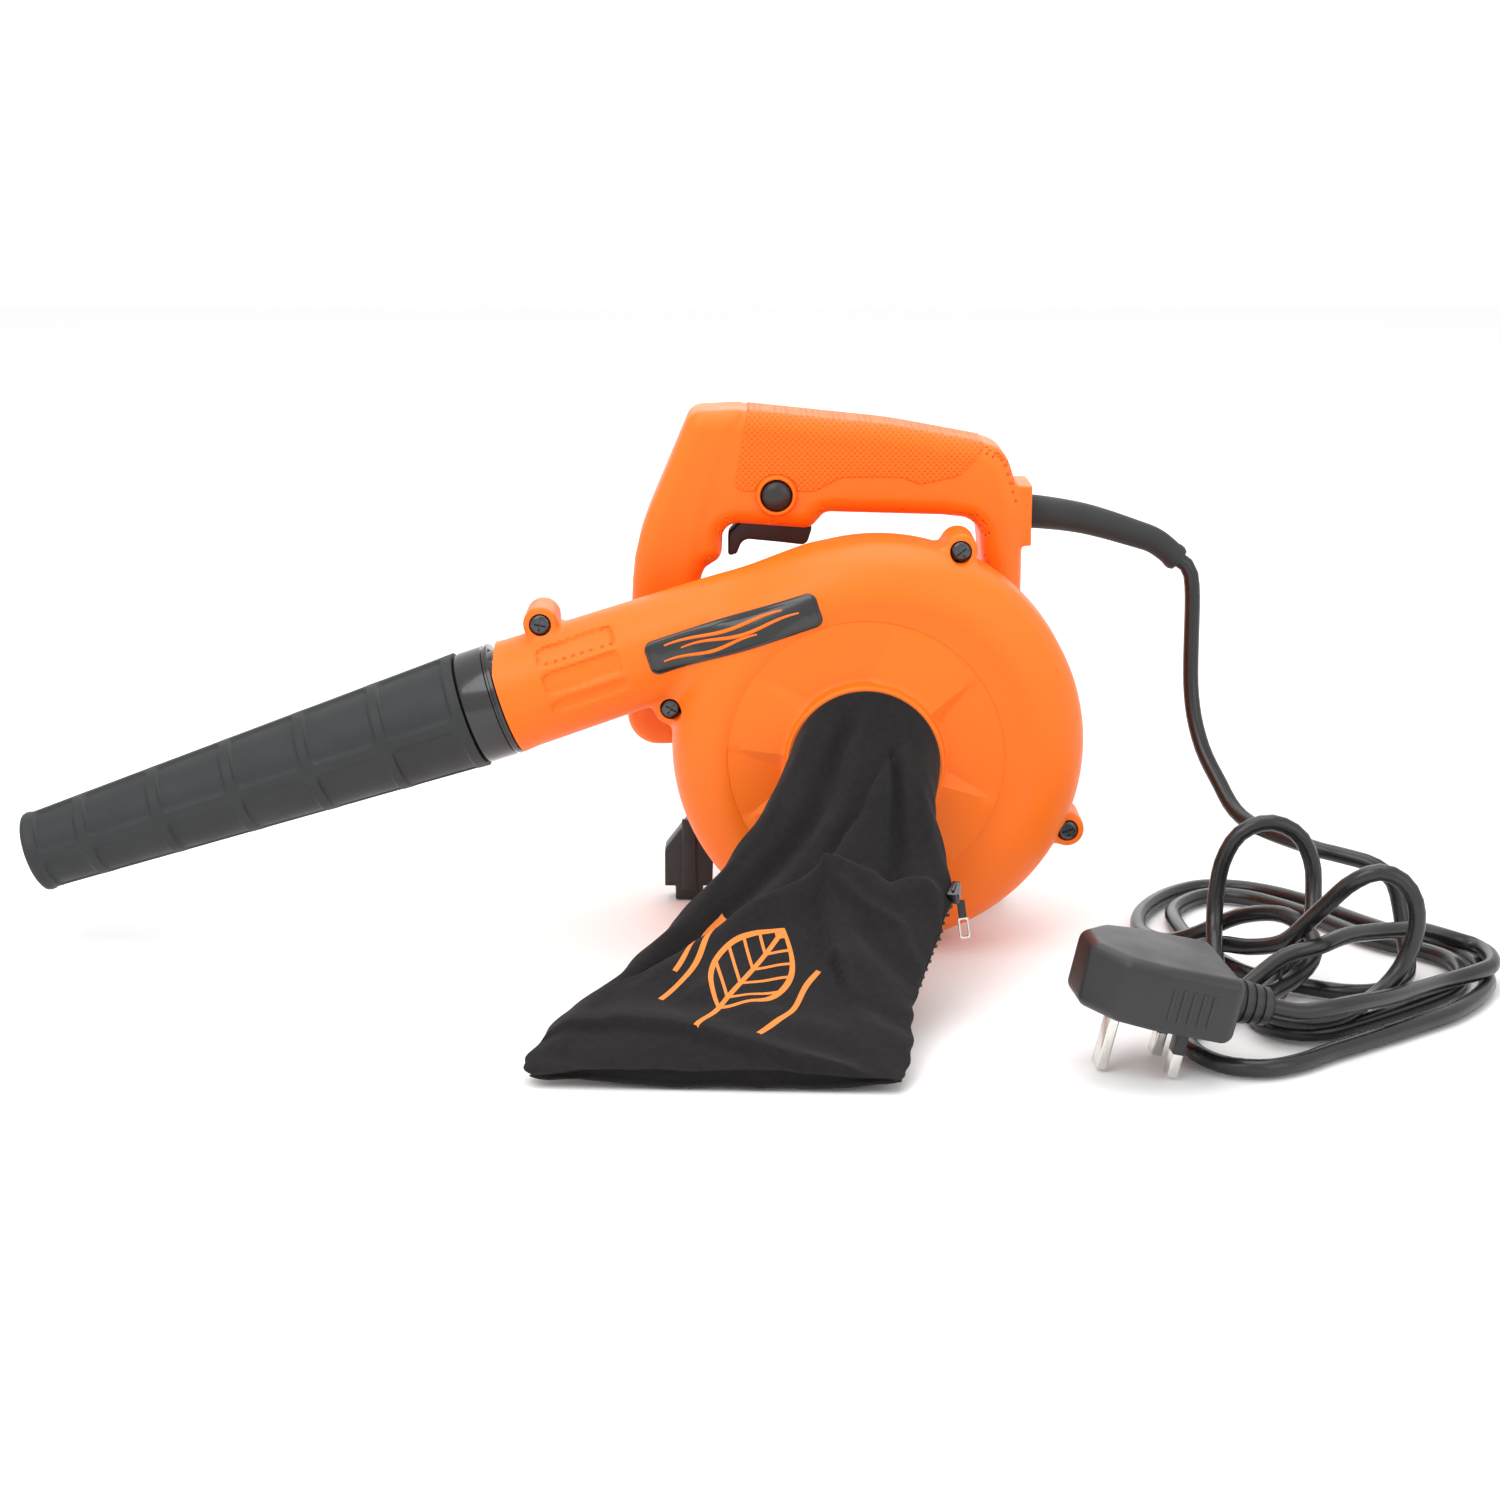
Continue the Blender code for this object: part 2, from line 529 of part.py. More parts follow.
def rear_housing():
    body = casing_body("rear_housing")
    cut(body, drum("barrel", None, fan, BARREL_R, 0.026, BARREL_END), "UNION")
    ears = ((-CAP_EAR_X, 0), (CAP_EAR_X, 0))
    cut(body, rods("barrel_ears", None, machine, ears, 0.005, 0.086, BARREL_END), "UNION")
    hollow_casing(body, "rear", False)
    bore = BARREL_R - WALL
    cut(body, drum("barrel_bore", None, fan, bore, CASE_BACK, BARREL_END + 0.001))
    cut(body, drum("bearing_hub", None, fan, 0.0145, 0.0258, 0.0365, 24), "UNION")
    cut(body, drum("bearing_pocket", None, fan, 0.0113, 0.0287, 0.038, 24))
    cut(body, drum("shaft_hole", None, fan, 0.0070, 0.02, 0.03, 20))
    cut(body, rods("ear_holes", None, machine, ears, SCREW_R + GAP, 0.0895, 0.102))
    slots = []
    for angle in (30, 55, 80, 105, 130, 155, 205, 230, 255, 280, 305, 330):
        turn = Matrix.Rotation(math.radians(angle), 4, "Y")
        slots.append(((0.0355, 0.0865, 0), (0.010, 0.012, 0.0035), turn))
    cut(body, boxes("barrel_slots", None, machine, slots))


def motor_end_cap():
    edge = BARREL_R - WALL
    profile = [(0, CAP_END), (0.029, CAP_END)]
    profile += arc(0.029, CAP_END - 0.0075, BARREL_R - 0.029, 0.0075, 90, 0, 4)[1:]
    profile += [(BARREL_R, BARREL_END + GAP), (edge, BARREL_END + GAP)]
    profile += arc(0.0285, CAP_END - 0.0075, edge - 0.0285, 0.005, 0, 90, 3)
    profile += [(0.0125, CAP_END - WALL), (0.0125, 0.106), (0.0098, 0.106), (0.0098, 0.1145),
                (0, 0.1145)]
    cap = turned("motor_end_cap", "orange", profile, fan, steps=28)
    ears = ((-CAP_EAR_X, 0), (CAP_EAR_X, 0))
    cut(cap, rods("cap_ears", None, machine, ears, 0.005, BARREL_END + GAP, 0.110), "UNION")
    cut(cap, rods("cap_holes", None, machine, ears, SCREW_R + GAP, 0.09, 0.12))
    slots = []
    for k in range(8):
        turn = Matrix.Rotation(math.radians(22.5 + 45 * k), 4, "Y")
        slots.append(((0.0205, CAP_END, 0), (0.011, 0.012, 0.0034), turn))
    cut(cap, boxes("cap_slots", None, machine, slots))


def inlet_guard():
    rim = ring(0.0245, 0.0274, -0.0325, -0.0295)
    body = turned("inlet_guard", "black_matt", rim, fan, steps=24)
    bars = []
    for k in range(3):
        turn = Matrix.Rotation(math.radians(60 * k), 4, "Y")
        bars.append(((0, -0.0310, 0), (0.0520, 0.0022, 0.0022), turn))
    for k, bar in enumerate(bars):
        cut(body, boxes(f"guard_bar_{k}", None, machine, [bar]), "UNION")


def casing_fasteners():
    head = BOSS_FRONT + 0.002 - GAP
    for k, (x, z) in enumerate(BOSSES):
        profile = [(0, 0.0125), (SCREW_R, 0.0125), (SCREW_R, head), (SCREW_HEAD_R, head),
                   (SCREW_HEAD_R, head - SCREW_HEAD_H * 0.5), (0.0028, head - SCREW_HEAD_H),
                   (0, head - SCREW_HEAD_H)]
        turned(f"housing_screw_{k + 1}", "dark_screw", profile, fan, steps=12,
               location=(x, -z, 0))
    for k, x in enumerate((-CAP_EAR_X, CAP_EAR_X)):
        profile = [(0, 0.0905), (SCREW_R, 0.0905), (SCREW_R, 0.1103), (0.0034, 0.1103),
                   (0.0034, 0.1118), (0.0020, 0.1128), (0, 0.1128)]
        turned(f"end_cap_screw_{k + 1}", "dark_screw", profile, fan, steps=12,
               location=(x, 0, 0))


def badge_and_foot():
    boxes("badge_plate", "black_gloss", badge_seat, [((0, -0.0237, 0), (0.070, 0.0016, 0.0135))])
    foot = prism("stand_foot", "black_matt", machine, [FOOT_CORNERS], [(0.046, 0), (0.058, 0)],
                 step=30)
    cut(foot, drum("foot_saddle", None, fan, BARREL_R + GAP, 0.03, 0.07))


# ---------------------------------------------------------------- motor and fan
def motor():
    stator = turned("stator_core", "iron", ring(0.0186, 0.0337, *ROTOR_CORE), fan, steps=32)
    slots = []
    for side in (0, 180):
        for angle in (-48, 48):
            turn = math.radians(side + angle)
            slots.append((0.0255 * math.cos(turn), 0.0255 * math.sin(turn)))
    cut(stator, rods("coil_slots", None, machine, slots, 0.0048, 0.04, 0.09, segments=12))
    for side, name in ((0, "field_coil_right"), (180, "field_coil_left")):
        path = []
        for level, sweep in ((0.0385, 1), (0.0855, -1)):
            for k in range(7):
                turn = math.radians(side + sweep * (-48 + 16 * k))
                path.append((0.0255 * math.cos(turn), level, 0.0255 * math.sin(turn)))
        tube(name, "copper", machine, path, 0.0040, resolution=1, ring=True)
    turned("armature_shaft", "steel", disc(SHAFT_R, -0.0110, 0.1138), fan, steps=24)
    bore = SHAFT_R + GAP
    core = turned("armature_core", "iron", ring(bore, ROTOR_CORE_R, *ROTOR_CORE), fan, steps=24)
    core_slots = []
    for k in range(12):
        turn = Matrix.Rotation(math.radians(30 * k), 4, "Y")
        core_slots.append(((0.0170, 0.062, 0), (0.005, 0.05, 0.0018), turn))
    cut(core, boxes("core_slots", None, machine, core_slots))
    front, back = ROTOR_CORE
    ends = (("armature_winding_front", front - 0.0065, front - GAP),
            ("armature_winding_rear", back + GAP, back + 0.0065))
    for name, low, high in ends:
        middle = (low + high) / 2
        profile = [(bore, low), (0.0125, low), (0.0152, middle), (0.0145, high), (bore, high)]
        turned(name, "copper", profile, fan, steps=24)
    low, high = COMMUTATOR
    profile = [(bore, low), (COMMUTATOR_R + 0.0015, low), (COMMUTATOR_R + 0.0015, low + 0.0015),
               (COMMUTATOR_R, low + 0.0020), (COMMUTATOR_R, high), (bore, high)]
    turned("commutator", "copper", profile, fan, steps=24)
    turned("front_bearing", "steel", ring(bore, 0.0110, 0.0290, 0.0360), fan, steps=24)
    turned("rear_bearing", "steel", ring(bore, 0.0095, 0.1070, 0.1130), fan, steps=24)


def brushes():
    middle = sum(COMMUTATOR) / 2
    for side, name in ((-1, "left"), (1, "right")):
        holder = boxes(f"brush_holder_{name}", "brass", machine,
                       [((side * 0.0230, middle, 0), (0.0210, 0.0108, 0.0088))])
        channel = [((side * 0.0216, middle, 0), (0.0208, 0.0086, 0.0066))]
        cut(holder, boxes(f"brush_channel_{name}", None, machine, channel))
        boxes(f"carbon_brush_{name}", "carbon", machine,
              [((side * 0.0174, middle, 0), (0.0130, 0.0080, 0.0060))])
        spring(f"brush_spring_{name}", Vector((side * 0.0242, middle, 0)),
               Vector((side * 0.0076, 0, 0)), 0.0020, 3)


def spring(name, foot, reach, radius, turns):
    """A compression spring of round wire from foot along reach."""
    along = reach.normalized()
    side = along.orthogonal().normalized()
    across = along.cross(side)
    wire = 0.00032
    length = reach.length - 2 * wire
    path = []
    for k in range(7 * turns + 1):
        angle = math.tau * k / 7
        path.append(foot + along * (wire + length * k / (7 * turns))
                    + radius * (side * math.cos(angle) + across * math.sin(angle)))
    return tube(name, "steel", machine, path, wire, resolution=0)


def impeller():
    bore = SHAFT_R + GAP
    low, high = IMPELLER_BACK - 0.002, IMPELLER_BACK
    profile = [(bore, -0.002), (0.010, -0.002), (0.0115, low), (IMPELLER_R, low),
               (IMPELLER_R, high), (bore, high)]
    wheel = turned("impeller", "black_matt", profile, fan, steps=28)
    blades = []
    for k in range(9):
        place = (Matrix.Rotation(math.radians(40 * k), 4, "Y") @ Matrix.Translation((0.040, 0, 0))
                 @ Matrix.Rotation(math.radians(25), 4, "Y"))
        blades.append(((0, -0.0002, 0), (0.040, 0.0360, 0.0018), place))
    cut(wheel, boxes("impeller_blades", None, machine, blades), "UNION")
    turned("impeller_washer", "steel", ring(bore, 0.009, -0.0038, -0.0023), fan, steps=20)
    nut = [circle(0.0065, 6), circle(bore + 0.0001, 16)]
    prism("impeller_nut", "steel", machine, nut, [(-0.0092, 0), (-0.0041, 0)])


# ---------------------------------------------------------------- handle
def handle_shell(name, front):
    """One half of the handle: a rounded block with its opening, hollowed, cut and bossed."""
    face, split, out = ((HANDLE_FRONT, HANDLE_SPLIT - GAP / 2, -1) if front else
                        (HANDLE_BACK, HANDLE_SPLIT + GAP / 2, 1))
    low, high = min(face, split), max(face, split)
    outlines = [HANDLE_CORNERS, OPENING_CORNERS]
    levels = []
    for angle in (0, 45, 90):
        turn = math.radians(angle)
        levels.append((face - out * HANDLE_ROUND * (1 - math.cos(turn)),
                       HANDLE_ROUND * (1 - math.sin(turn))))
    shell = prism(name, "orange", machine, outlines, levels + [(split, 0)])
    hollow = [(face - out * WALL, WALL), (split + out * -0.01, WALL)]
    cut(shell, prism(f"{name}_hollow", None, machine, outlines, hollow))
    inner = face - out * 0.0015
    posts = rods(f"{name}_posts", None, machine, HANDLE_SCREWS, 0.0040, min(inner, split),
                 max(inner, split), segments=12)
    cut(shell, posts, "UNION")
    gland = [((0.0665, (low + high) / 2 - out * 0.0045, GUARD_Z + 0.0003),
              (0.0054, high - low - 0.009, 0.0245))]
    cut(shell, boxes(f"{name}_gland", None, machine, gland), "UNION")
    cut(shell, drum(f"{name}_saddle", None, fan, BARREL_R + GAP, 0.02, 0.08))
    slot = [((-0.03825, HANDLE_MID, 0.07825), (0.0405, 0.0160, 0.0245))]
    cut(shell, boxes(f"{name}_slot", None, machine, slot))
    cut(shell, drum(f"{name}_exit", None, cord_axis, 0.0075, 0.050, 0.080, 20))
    if front:
        button = ((BUTTON_X, BUTTON_Z),)
        cut(shell, rods("button_ring", None, machine, button, 0.0080, face - 0.0010,
                        face + 0.001, segments=20), "UNION")
        cut(shell, rods("button_hole", None, machine, button, BUTTON_R + GAP, 0.02, 0.035,
                        segments=20))
        cut(shell, rods("post_holes_front", None, machine, HANDLE_SCREWS, SCREW_R + GAP,
                        0.0325, 0.05, segments=10))
    else:
        cut(shell, rods("post_holes_rear", None, machine, HANDLE_SCREWS, SCREW_R + GAP,
                        0.04, 0.07, segments=10))
        cut(shell, rods("post_sinks_rear", None, machine, HANDLE_SCREWS, 0.0034 + GAP,
                        HANDLE_BACK - 0.0022, 0.07, segments=10))


def grip_panels():
    for name, low, high in (("grip_panel_front", HANDLE_FRONT - 0.0011, HANDLE_FRONT - GAP),
                            ("grip_panel_rear", HANDLE_BACK + GAP, HANDLE_BACK + 0.0011)):
        levels = [(low, 0), (high, 0)]
        panel = prism(name, "orange_grip", machine, [PANEL_CORNERS], levels, step=30)
        if high < HANDLE_MID:
            cut(panel, rods("panel_notch", None, machine, ((BUTTON_X, BUTTON_Z),), 0.0083,
                            low - 0.002, high + 0.002))


def handle_fittings():
    for k, (x, z) in enumerate(HANDLE_SCREWS):
        head = HANDLE_BACK - 0.0022 + GAP
        profile = [(0, 0.0335), (SCREW_R, 0.0335), (SCREW_R, head), (0.0034, head),
                   (0.0034, head + 0.0010), (0.0022, head + 0.0017), (0, head + 0.0017)]
        turned(f"handle_screw_{k + 1}", "dark_screw", profile, fan, steps=12,
               location=(x, -z, 0))
    body = boxes("switch_body", "black_matt", machine, [((-0.030, 0.047, 0.102),
                                                         (0.032, 0.018, 0.020))])
    pocket = [((-0.038, 0.047, 0.0975), (0.0066, 0.0066, 0.0130))]
    cut(body, boxes("switch_pocket", None, machine, pocket))
    boxes("switch_plunger", "white_nylon", machine, [((-0.038, 0.047, 0.09165),
                                                      (0.0060, 0.0060, 0.0103))])
    spring("plunger_spring", Vector((-0.038, 0.047, 0.0971)), Vector((0, 0, 0.0066)), 0.0021, 3)
    boxes("suppression_capacitor", "brass", machine, [((-0.0780, 0.047, 0.0560),
                                                       (0.013, 0.018, 0.024))])
    clamp = boxes("cable_clamp", "black_matt", machine, [((0.0360, 0.047, 0.0950),
                                                          (0.010, 0.026, 0.005))])
    cut(clamp, drum("clamp_groove", None, clamp_axis, 0.0028, 0.02, 0.06, 12))


def trigger():
    px, pz = TRIGGER_PIVOT
    pivot = empty("trigger_pivot", machine, location=(px, HANDLE_MID, pz))
    corners = [(x - px, z - pz, radius) for x, z, radius in TRIGGER_CORNERS]
    prism("trigger", "black_matt", pivot, [corners, circle(0.0018, 12)],
          [(-0.0065, 0.0010), (-0.0055, 0), (0.0055, 0), (0.0065, 0.0010)], step=30)
    rods("trigger_pin", "steel", machine, (TRIGGER_PIVOT,), 0.0015, 0.0305, 0.0635, segments=12)


def lock_button():
    top = HANDLE_FRONT - 0.0030
    profile = [(0, top), (0.0035, top + 0.0004), (0.0055, top + 0.0014), (BUTTON_R, top + 0.0024),
               (BUTTON_R, 0.0302), (0.0076, 0.0302), (0.0076, 0.0315), (0.0040, 0.0315),
               (0.0040, 0.0336), (0, 0.0336)]
    turned("lock_button", "black_matt", profile, fan, steps=20,
           location=(BUTTON_X, -BUTTON_Z, 0))
    spring("lock_spring", Vector((BUTTON_X, 0.0339, BUTTON_Z)), Vector((0, 0.0038, 0)), 0.0030, 2)


# ---------------------------------------------------------------- nozzle and collar
def outlet_collar():
    profile = [(TUBE_R, GAP), (TUBE_R, COLLAR_LEN), (SPIGOT_R, COLLAR_LEN),
               (SPIGOT_R, COLLAR_LEN + SPIGOT_LEN), (0.0175, COLLAR_LEN + SPIGOT_LEN),
               (0.0175, -0.010), (0.0196, -0.010), (0.0196, GAP)]
    turned("outlet_collar", "black_gloss", profile, outlet, steps=28)


def nozzle():
    start, end = COLLAR_LEN + GAP, COLLAR_LEN + NOZZLE_LEN
    inside = SPIGOT_R + GAP
    profile = [(NOZZLE_R, start), (NOZZLE_R - 0.0002, start + 0.009),
               (NOZZLE_TIP_R + 0.0001, end - 0.004), (NOZZLE_TIP_R + 0.0005, end - 0.0015),
               (NOZZLE_TIP_R, end), (NOZZLE_TIP_R - 0.0025, end), (inside - 0.0012, 0.052),
               (inside, COLLAR_LEN + SPIGOT_LEN + 0.001), (inside, start)]
    turned("nozzle", "rubber", profile, outlet, steps=28)


# ---------------------------------------------------------------- dust bag
def dust_bag():
    bm = bmesh.new()
    rows = []
    for centre, across, thick in BAG_RINGS:
        row = []
        for k in range(BAG_SIDES):
            turn = math.tau * k / BAG_SIDES
            spot = Vector(centre) + Vector(across) * math.cos(turn) + Vector(thick) * math.sin(turn)
            row.append(bm.verts.new(spot))
        rows.append(row)
    for near, far in zip(rows, rows[1:]):
        for k in range(BAG_SIDES):
            after = (k + 1) % BAG_SIDES
            bm.faces.new((near[k], near[after], far[after], far[k]))
    bm.faces.new(rows[0])
    bm.faces.new(rows[-1])
    bmesh.ops.triangulate(bm, faces=bm.faces)
    add("dust_bag", mesh_from(bm, "dust_bag"), "cloth", machine)
    eye = INLET_R - INLET_WALL
    band = ring(eye - 0.0030, eye - GAP, INLET_LIP_Y - 0.0002, INLET_LIP_Y + 0.0030)
    turned("bag_neck_band", "cloth", band, fan, steps=28)
    run = Vector(ZIP_RUN).normalized()
    turn = run.to_track_quat("X", "Z").to_euler()
    slider = empty("zip_slide", machine, location=ZIP_AT, rotation=turn)
    boxes("zip_slider", "nickel", slider, [((0, 0, 0), (0.0080, 0.0030, 0.0050))])
    hinge = Vector(ZIP_AT) + Vector((0.0022, 0.0, -0.0030))
    tab = empty("zip_pull_hinge", machine, location=hinge)
    outline = [(-0.0018, 0, 0), (0.0018, 0, 0), (0.0036, -0.0150, 0), (0.0004, -0.0150, 0)]
    prism("zip_pull", "nickel", tab, [outline], [(-0.0006, 0), (0.0006, 0)])


# ---------------------------------------------------------------- cord and plug
def cord_and_guard():
    path = smooth_path(GUARD_ROUTE, 0.007)
    count = len(path) - 1
    radii = [GUARD_ROOT_R + (GUARD_TIP_R - GUARD_ROOT_R) * k / count for k in range(count + 1)]
    tube("cord_guard", "rubber", machine, path, GUARD_ROOT_R, resolution=4, radii=radii)
    path = smooth_path(CORD_ROUTE, 0.027)
    first, last = Vector(CORD_ROUTE[1]) - path[0], Vector(CORD_ROUTE[-2]) - path[-1]
    path.insert(1, path[0] + first.normalized() * END_RUN)
    path.insert(-1, path[-1] + last.normalized() * END_RUN)
    tube("mains_cord", "cord", machine, path, CORD_R, resolution=2)


def plug():
    outline = ((-0.0165, -0.0090, 0.004), (-0.0060, -0.0215, 0.006), (0.0080, -0.0250, 0.010),
               (0.0365, -0.0250, 0.004), (0.0365, 0.0250, 0.004), (0.0080, 0.0250, 0.010),
               (-0.0060, 0.0215, 0.006), (-0.0165, 0.0090, 0.004))
    levels = [(-0.0235, 0.0030), (-0.0226, 0.0009), (-0.0205, 0), (-0.0030, 0), (-0.0009, 0.0009),
              (0, 0.0030)]
    shell = prism("plug_body", "black_matt", plug_frame, [outline], levels, step=30,
                  rotation=(math.radians(-90), 0, 0))
    relief = turned("plug_relief", None, [(0, 0), (0.0085, 0), (0.0065, 0.0190), (0, 0.0190)],
                    plug_exit, steps=20)
    cut(shell, relief, "UNION")
    earth = [((0, 0, -EARTH_LEN / 2 - GAP / 2), (0.0040, 0.0080, EARTH_LEN - GAP))]
    boxes("plug_earth_pin", "nickel", plug_frame, earth)
    for name, side in (("plug_live_pin", -1), ("plug_neutral_pin", 1)):
        pin = [((PIN_PITCH, side * LIVE_SPREAD, -LIVE_LEN / 2 - GAP / 2),
                (0.0040, 0.0064, LIVE_LEN - GAP))]
        boxes(name, "nickel", plug_frame, pin)


# ---------------------------------------------------------------- assembly
clear_scene()
parts = collection(PARTS)
cutters = collection("cutters")
machine = empty("machine", None, location=FAN_AXIS)
fan = empty("fan_axis", machine, rotation=(math.radians(-90), 0, 0))
case = empty("case_axis", machine, location=(CASE_X, 0, CASE_Z),
             rotation=(math.radians(-90), 0, 0))
along_tube = Vector((math.cos(TUBE_TILT), 0, math.sin(TUBE_TILT)))
above_tube = Vector((-math.sin(TUBE_TILT), 0, math.cos(TUBE_TILT)))
outlet = empty("outlet_axis", machine, location=TUBE_S * along_tube + TUBE_H * above_tube,
               rotation=(0, -math.radians(90) - TUBE_TILT, 0))
badge_seat = empty("badge_seat", machine, location=-0.033 * along_tube + 0.0625 * above_tube,
                   rotation=(0, -TUBE_TILT, 0))
cord_axis = empty("cord_axis", machine, location=(0, HANDLE_MID, GUARD_Z),
                  rotation=(0, math.radians(90), 0))
clamp_axis = empty("clamp_axis", machine, location=(0, HANDLE_MID, 0.0915),
                   rotation=(0, math.radians(90), 0))
plug_down = Matrix.Rotation(PLUG_YAW, 3, "Z") @ Matrix.Rotation(PLUG_TILT, 3, "Y")
plug_spot = Vector((*PLUG_TIP, FLOOR + 0.0012)) + plug_down @ Vector((0, 0, EARTH_LEN))
plug_frame = empty("plug_frame", machine, location=plug_spot, rotation=plug_down.to_euler())
plug_exit = empty("plug_exit", plug_frame, location=(0.0355, 0, PLUG_CORD_Z),
                  rotation=(0, math.radians(90), 0))

front_housing()
rear_housing()
motor_end_cap()
inlet_guard()
casing_fasteners()
badge_and_foot()
motor()
brushes()
impeller()
handle_shell("handle_front_shell", True)
handle_shell("handle_rear_shell", False)
grip_panels()
handle_fittings()
trigger()
lock_button()
outlet_collar()
nozzle()
dust_bag()
cord_and_guard()
plug()
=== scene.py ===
"""Visual model of the corded leaf blower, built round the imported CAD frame."""

import math

import bmesh
import bpy
import numpy as np
from mathutils import Matrix, Vector, noise


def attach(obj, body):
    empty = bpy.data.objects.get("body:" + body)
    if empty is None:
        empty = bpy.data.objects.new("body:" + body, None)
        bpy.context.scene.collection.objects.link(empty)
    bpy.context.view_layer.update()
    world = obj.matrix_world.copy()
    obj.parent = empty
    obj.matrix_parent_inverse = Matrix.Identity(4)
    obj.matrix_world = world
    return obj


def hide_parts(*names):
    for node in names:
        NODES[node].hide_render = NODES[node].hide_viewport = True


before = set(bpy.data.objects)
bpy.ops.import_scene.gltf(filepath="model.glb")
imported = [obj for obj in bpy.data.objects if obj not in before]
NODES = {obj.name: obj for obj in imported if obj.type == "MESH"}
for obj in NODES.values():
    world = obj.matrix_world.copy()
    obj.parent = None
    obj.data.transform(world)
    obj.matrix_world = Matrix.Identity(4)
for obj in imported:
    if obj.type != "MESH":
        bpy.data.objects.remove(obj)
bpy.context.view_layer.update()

# Everything below is measured from the fan axis, as the part is, and then moved by this.
AXIS = Vector((0.1244, 0.0290, 0.0800))
FLOOR = -AXIS.z
GAP = 0.0003
WALL = 0.0025

CASE_X, CASE_Z, CASE_R = 0.006, 0.0015, 0.0815
CASE_FRONT, CASE_BACK, SEAM_Y = -0.029, 0.027, 0.006
INLET_R, INLET_EYE, INLET_LIP_Y = 0.0310, 0.0277, -0.036
DISH_R = 0.0545
TUBE_TILT = math.radians(18.5)
TUBE_H, TUBE_S, TUBE_R, TUBE_ROOT_R = 0.0622, -0.128, 0.02275, 0.0202
COLLAR_LEN, SPIGOT_R, SPIGOT_LEN = 0.0150, 0.0200, 0.0270
NOZZLE_LEN, NOZZLE_R, NOZZLE_TIP_R = 0.1870, 0.0235, 0.01575
BOSSES = ((-0.1270, 0.0495), (-0.0758, 0.0160), (0.0376, 0.0785), (0.0822, -0.0340))
WEBS = ((0.3, -0.95), (0.9, -0.2), (-0.35, -0.93), (-0.9, 0.42))
BOSS_R, BOSS_FRONT, BOSS_BACK = 0.0068, -0.009, 0.015
BARREL_R, BARREL_END, CAP_END, CAP_EAR_X = 0.0365, 0.100, 0.122, 0.0406
HANDLE_FRONT, HANDLE_SPLIT, HANDLE_BACK = 0.0273, 0.047, 0.0667
HANDLE_SIDES = (("front", HANDLE_FRONT, -1), ("rear", HANDLE_BACK, 1))
GRIP_ROUND = 0.0078
BOSS_SINK = 0.0016
SCREW_R = 0.0017
EAR_R, EAR_HOLE_R = 0.005, 0.0021
BUTTON_X, BUTTON_Z, BUTTON_R = -0.0340, 0.0950, 0.0062
TRIGGER_PIVOT = (-0.0245, 0.0858)
GUARD_Z, CORD_R = 0.0855, 0.00325

HANDLE_CORNERS = (
    (-0.0955, -0.0090, 0.018), (-0.0915, 0.0740, 0.080), (-0.0685, 0.1280, 0.007),
    (-0.0460, 0.1290, 0.006), (0.0120, 0.1230, 0.100), (0.0580, 0.1145, 0.014),
    (0.0662, 0.0900, 0.020), (0.0662, -0.0090, 0.014),
)
OPENING_CORNERS = (
    (-0.0660, 0.0500, 0.003), (-0.0640, 0.0630, 0.004), (-0.0554, 0.0685, 0.0065),
    (-0.0554, 0.0825, 0.006), (-0.0200, 0.0800, 0.0065), (-0.0140, 0.0868, 0.004),
    (0.0330, 0.0855, 0.020), (0.0470, 0.0840, 0.008), (0.0505, 0.0500, 0.003),
)
TOWER_CORNERS = (
    (-0.0955, -0.0090, 0.018), (-0.0915, 0.0740, 0.080), (-0.0685, 0.1280, 0.007),
    (-0.0466, 0.1290, 0.002), (-0.0500, 0.1170, 0.010), (-0.0540, 0.1050, 0.040),
    (-0.0600, 0.0845, 0.040), (-0.0640, 0.0600, 0.010), (-0.0660, -0.0090, 0.018),
)
PANEL_CORNERS = (
    (-0.0440, 0.1400, 0.002), (-0.0485, 0.1120, 0.010), (-0.0515, 0.0965, 0.004),
    (-0.0185, 0.0965, 0.004), (-0.0080, 0.1022, 0.006), (0.0160, 0.1022, 0.006),
    (0.0235, 0.0992, 0.006), (0.0395, 0.1028, 0.006), (0.0490, 0.1130, 0.010),
    (0.0520, 0.1400, 0.002),
)
TRIGGER_CORNERS = (
    (-0.0536, 0.0680, 0.0012), (-0.0500, 0.0690, 0.0015), (-0.0475, 0.0752, 0.0050),
    (-0.0330, 0.0738, 0.0200), (-0.0215, 0.0725, 0.0030), (-0.0195, 0.0790, 0.0020),
    (-0.0195, 0.0885, 0.0020), (-0.0300, 0.0885, 0.0020), (-0.0330, 0.0862, 0.0010),
    (-0.0450, 0.0862, 0.0030), (-0.0536, 0.0775, 0.0040),
)
FOOT_CORNERS = (
    (-0.0300, -0.0200, 0), (-0.0690, -0.0430, 0.006), (-0.0805, -0.0580, 0.004),
    (-0.0805, -0.0740, 0.0004), (-0.0760, -0.0740, 0.0004), (-0.0760, FLOOR, 0.0004),
    (-0.0645, FLOOR, 0.0004), (-0.0645, -0.0740, 0.0004), (-0.0605, -0.0740, 0.0004),
    (-0.0600, -0.0580, 0.004), (-0.0200, -0.0480, 0.006), (0.0200, -0.0480, 0.006),
    (0.0470, -0.0580, 0.004), (0.0475, FLOOR, 0.0004), (0.0620, FLOOR, 0.0004),
    (0.0620, -0.0580, 0.006), (0.0300, -0.0200, 0),
)
HANDLE_SCREWS = ((-0.0770, 0.0300), (-0.0580, 0.1120), (0.0500, 0.1030))
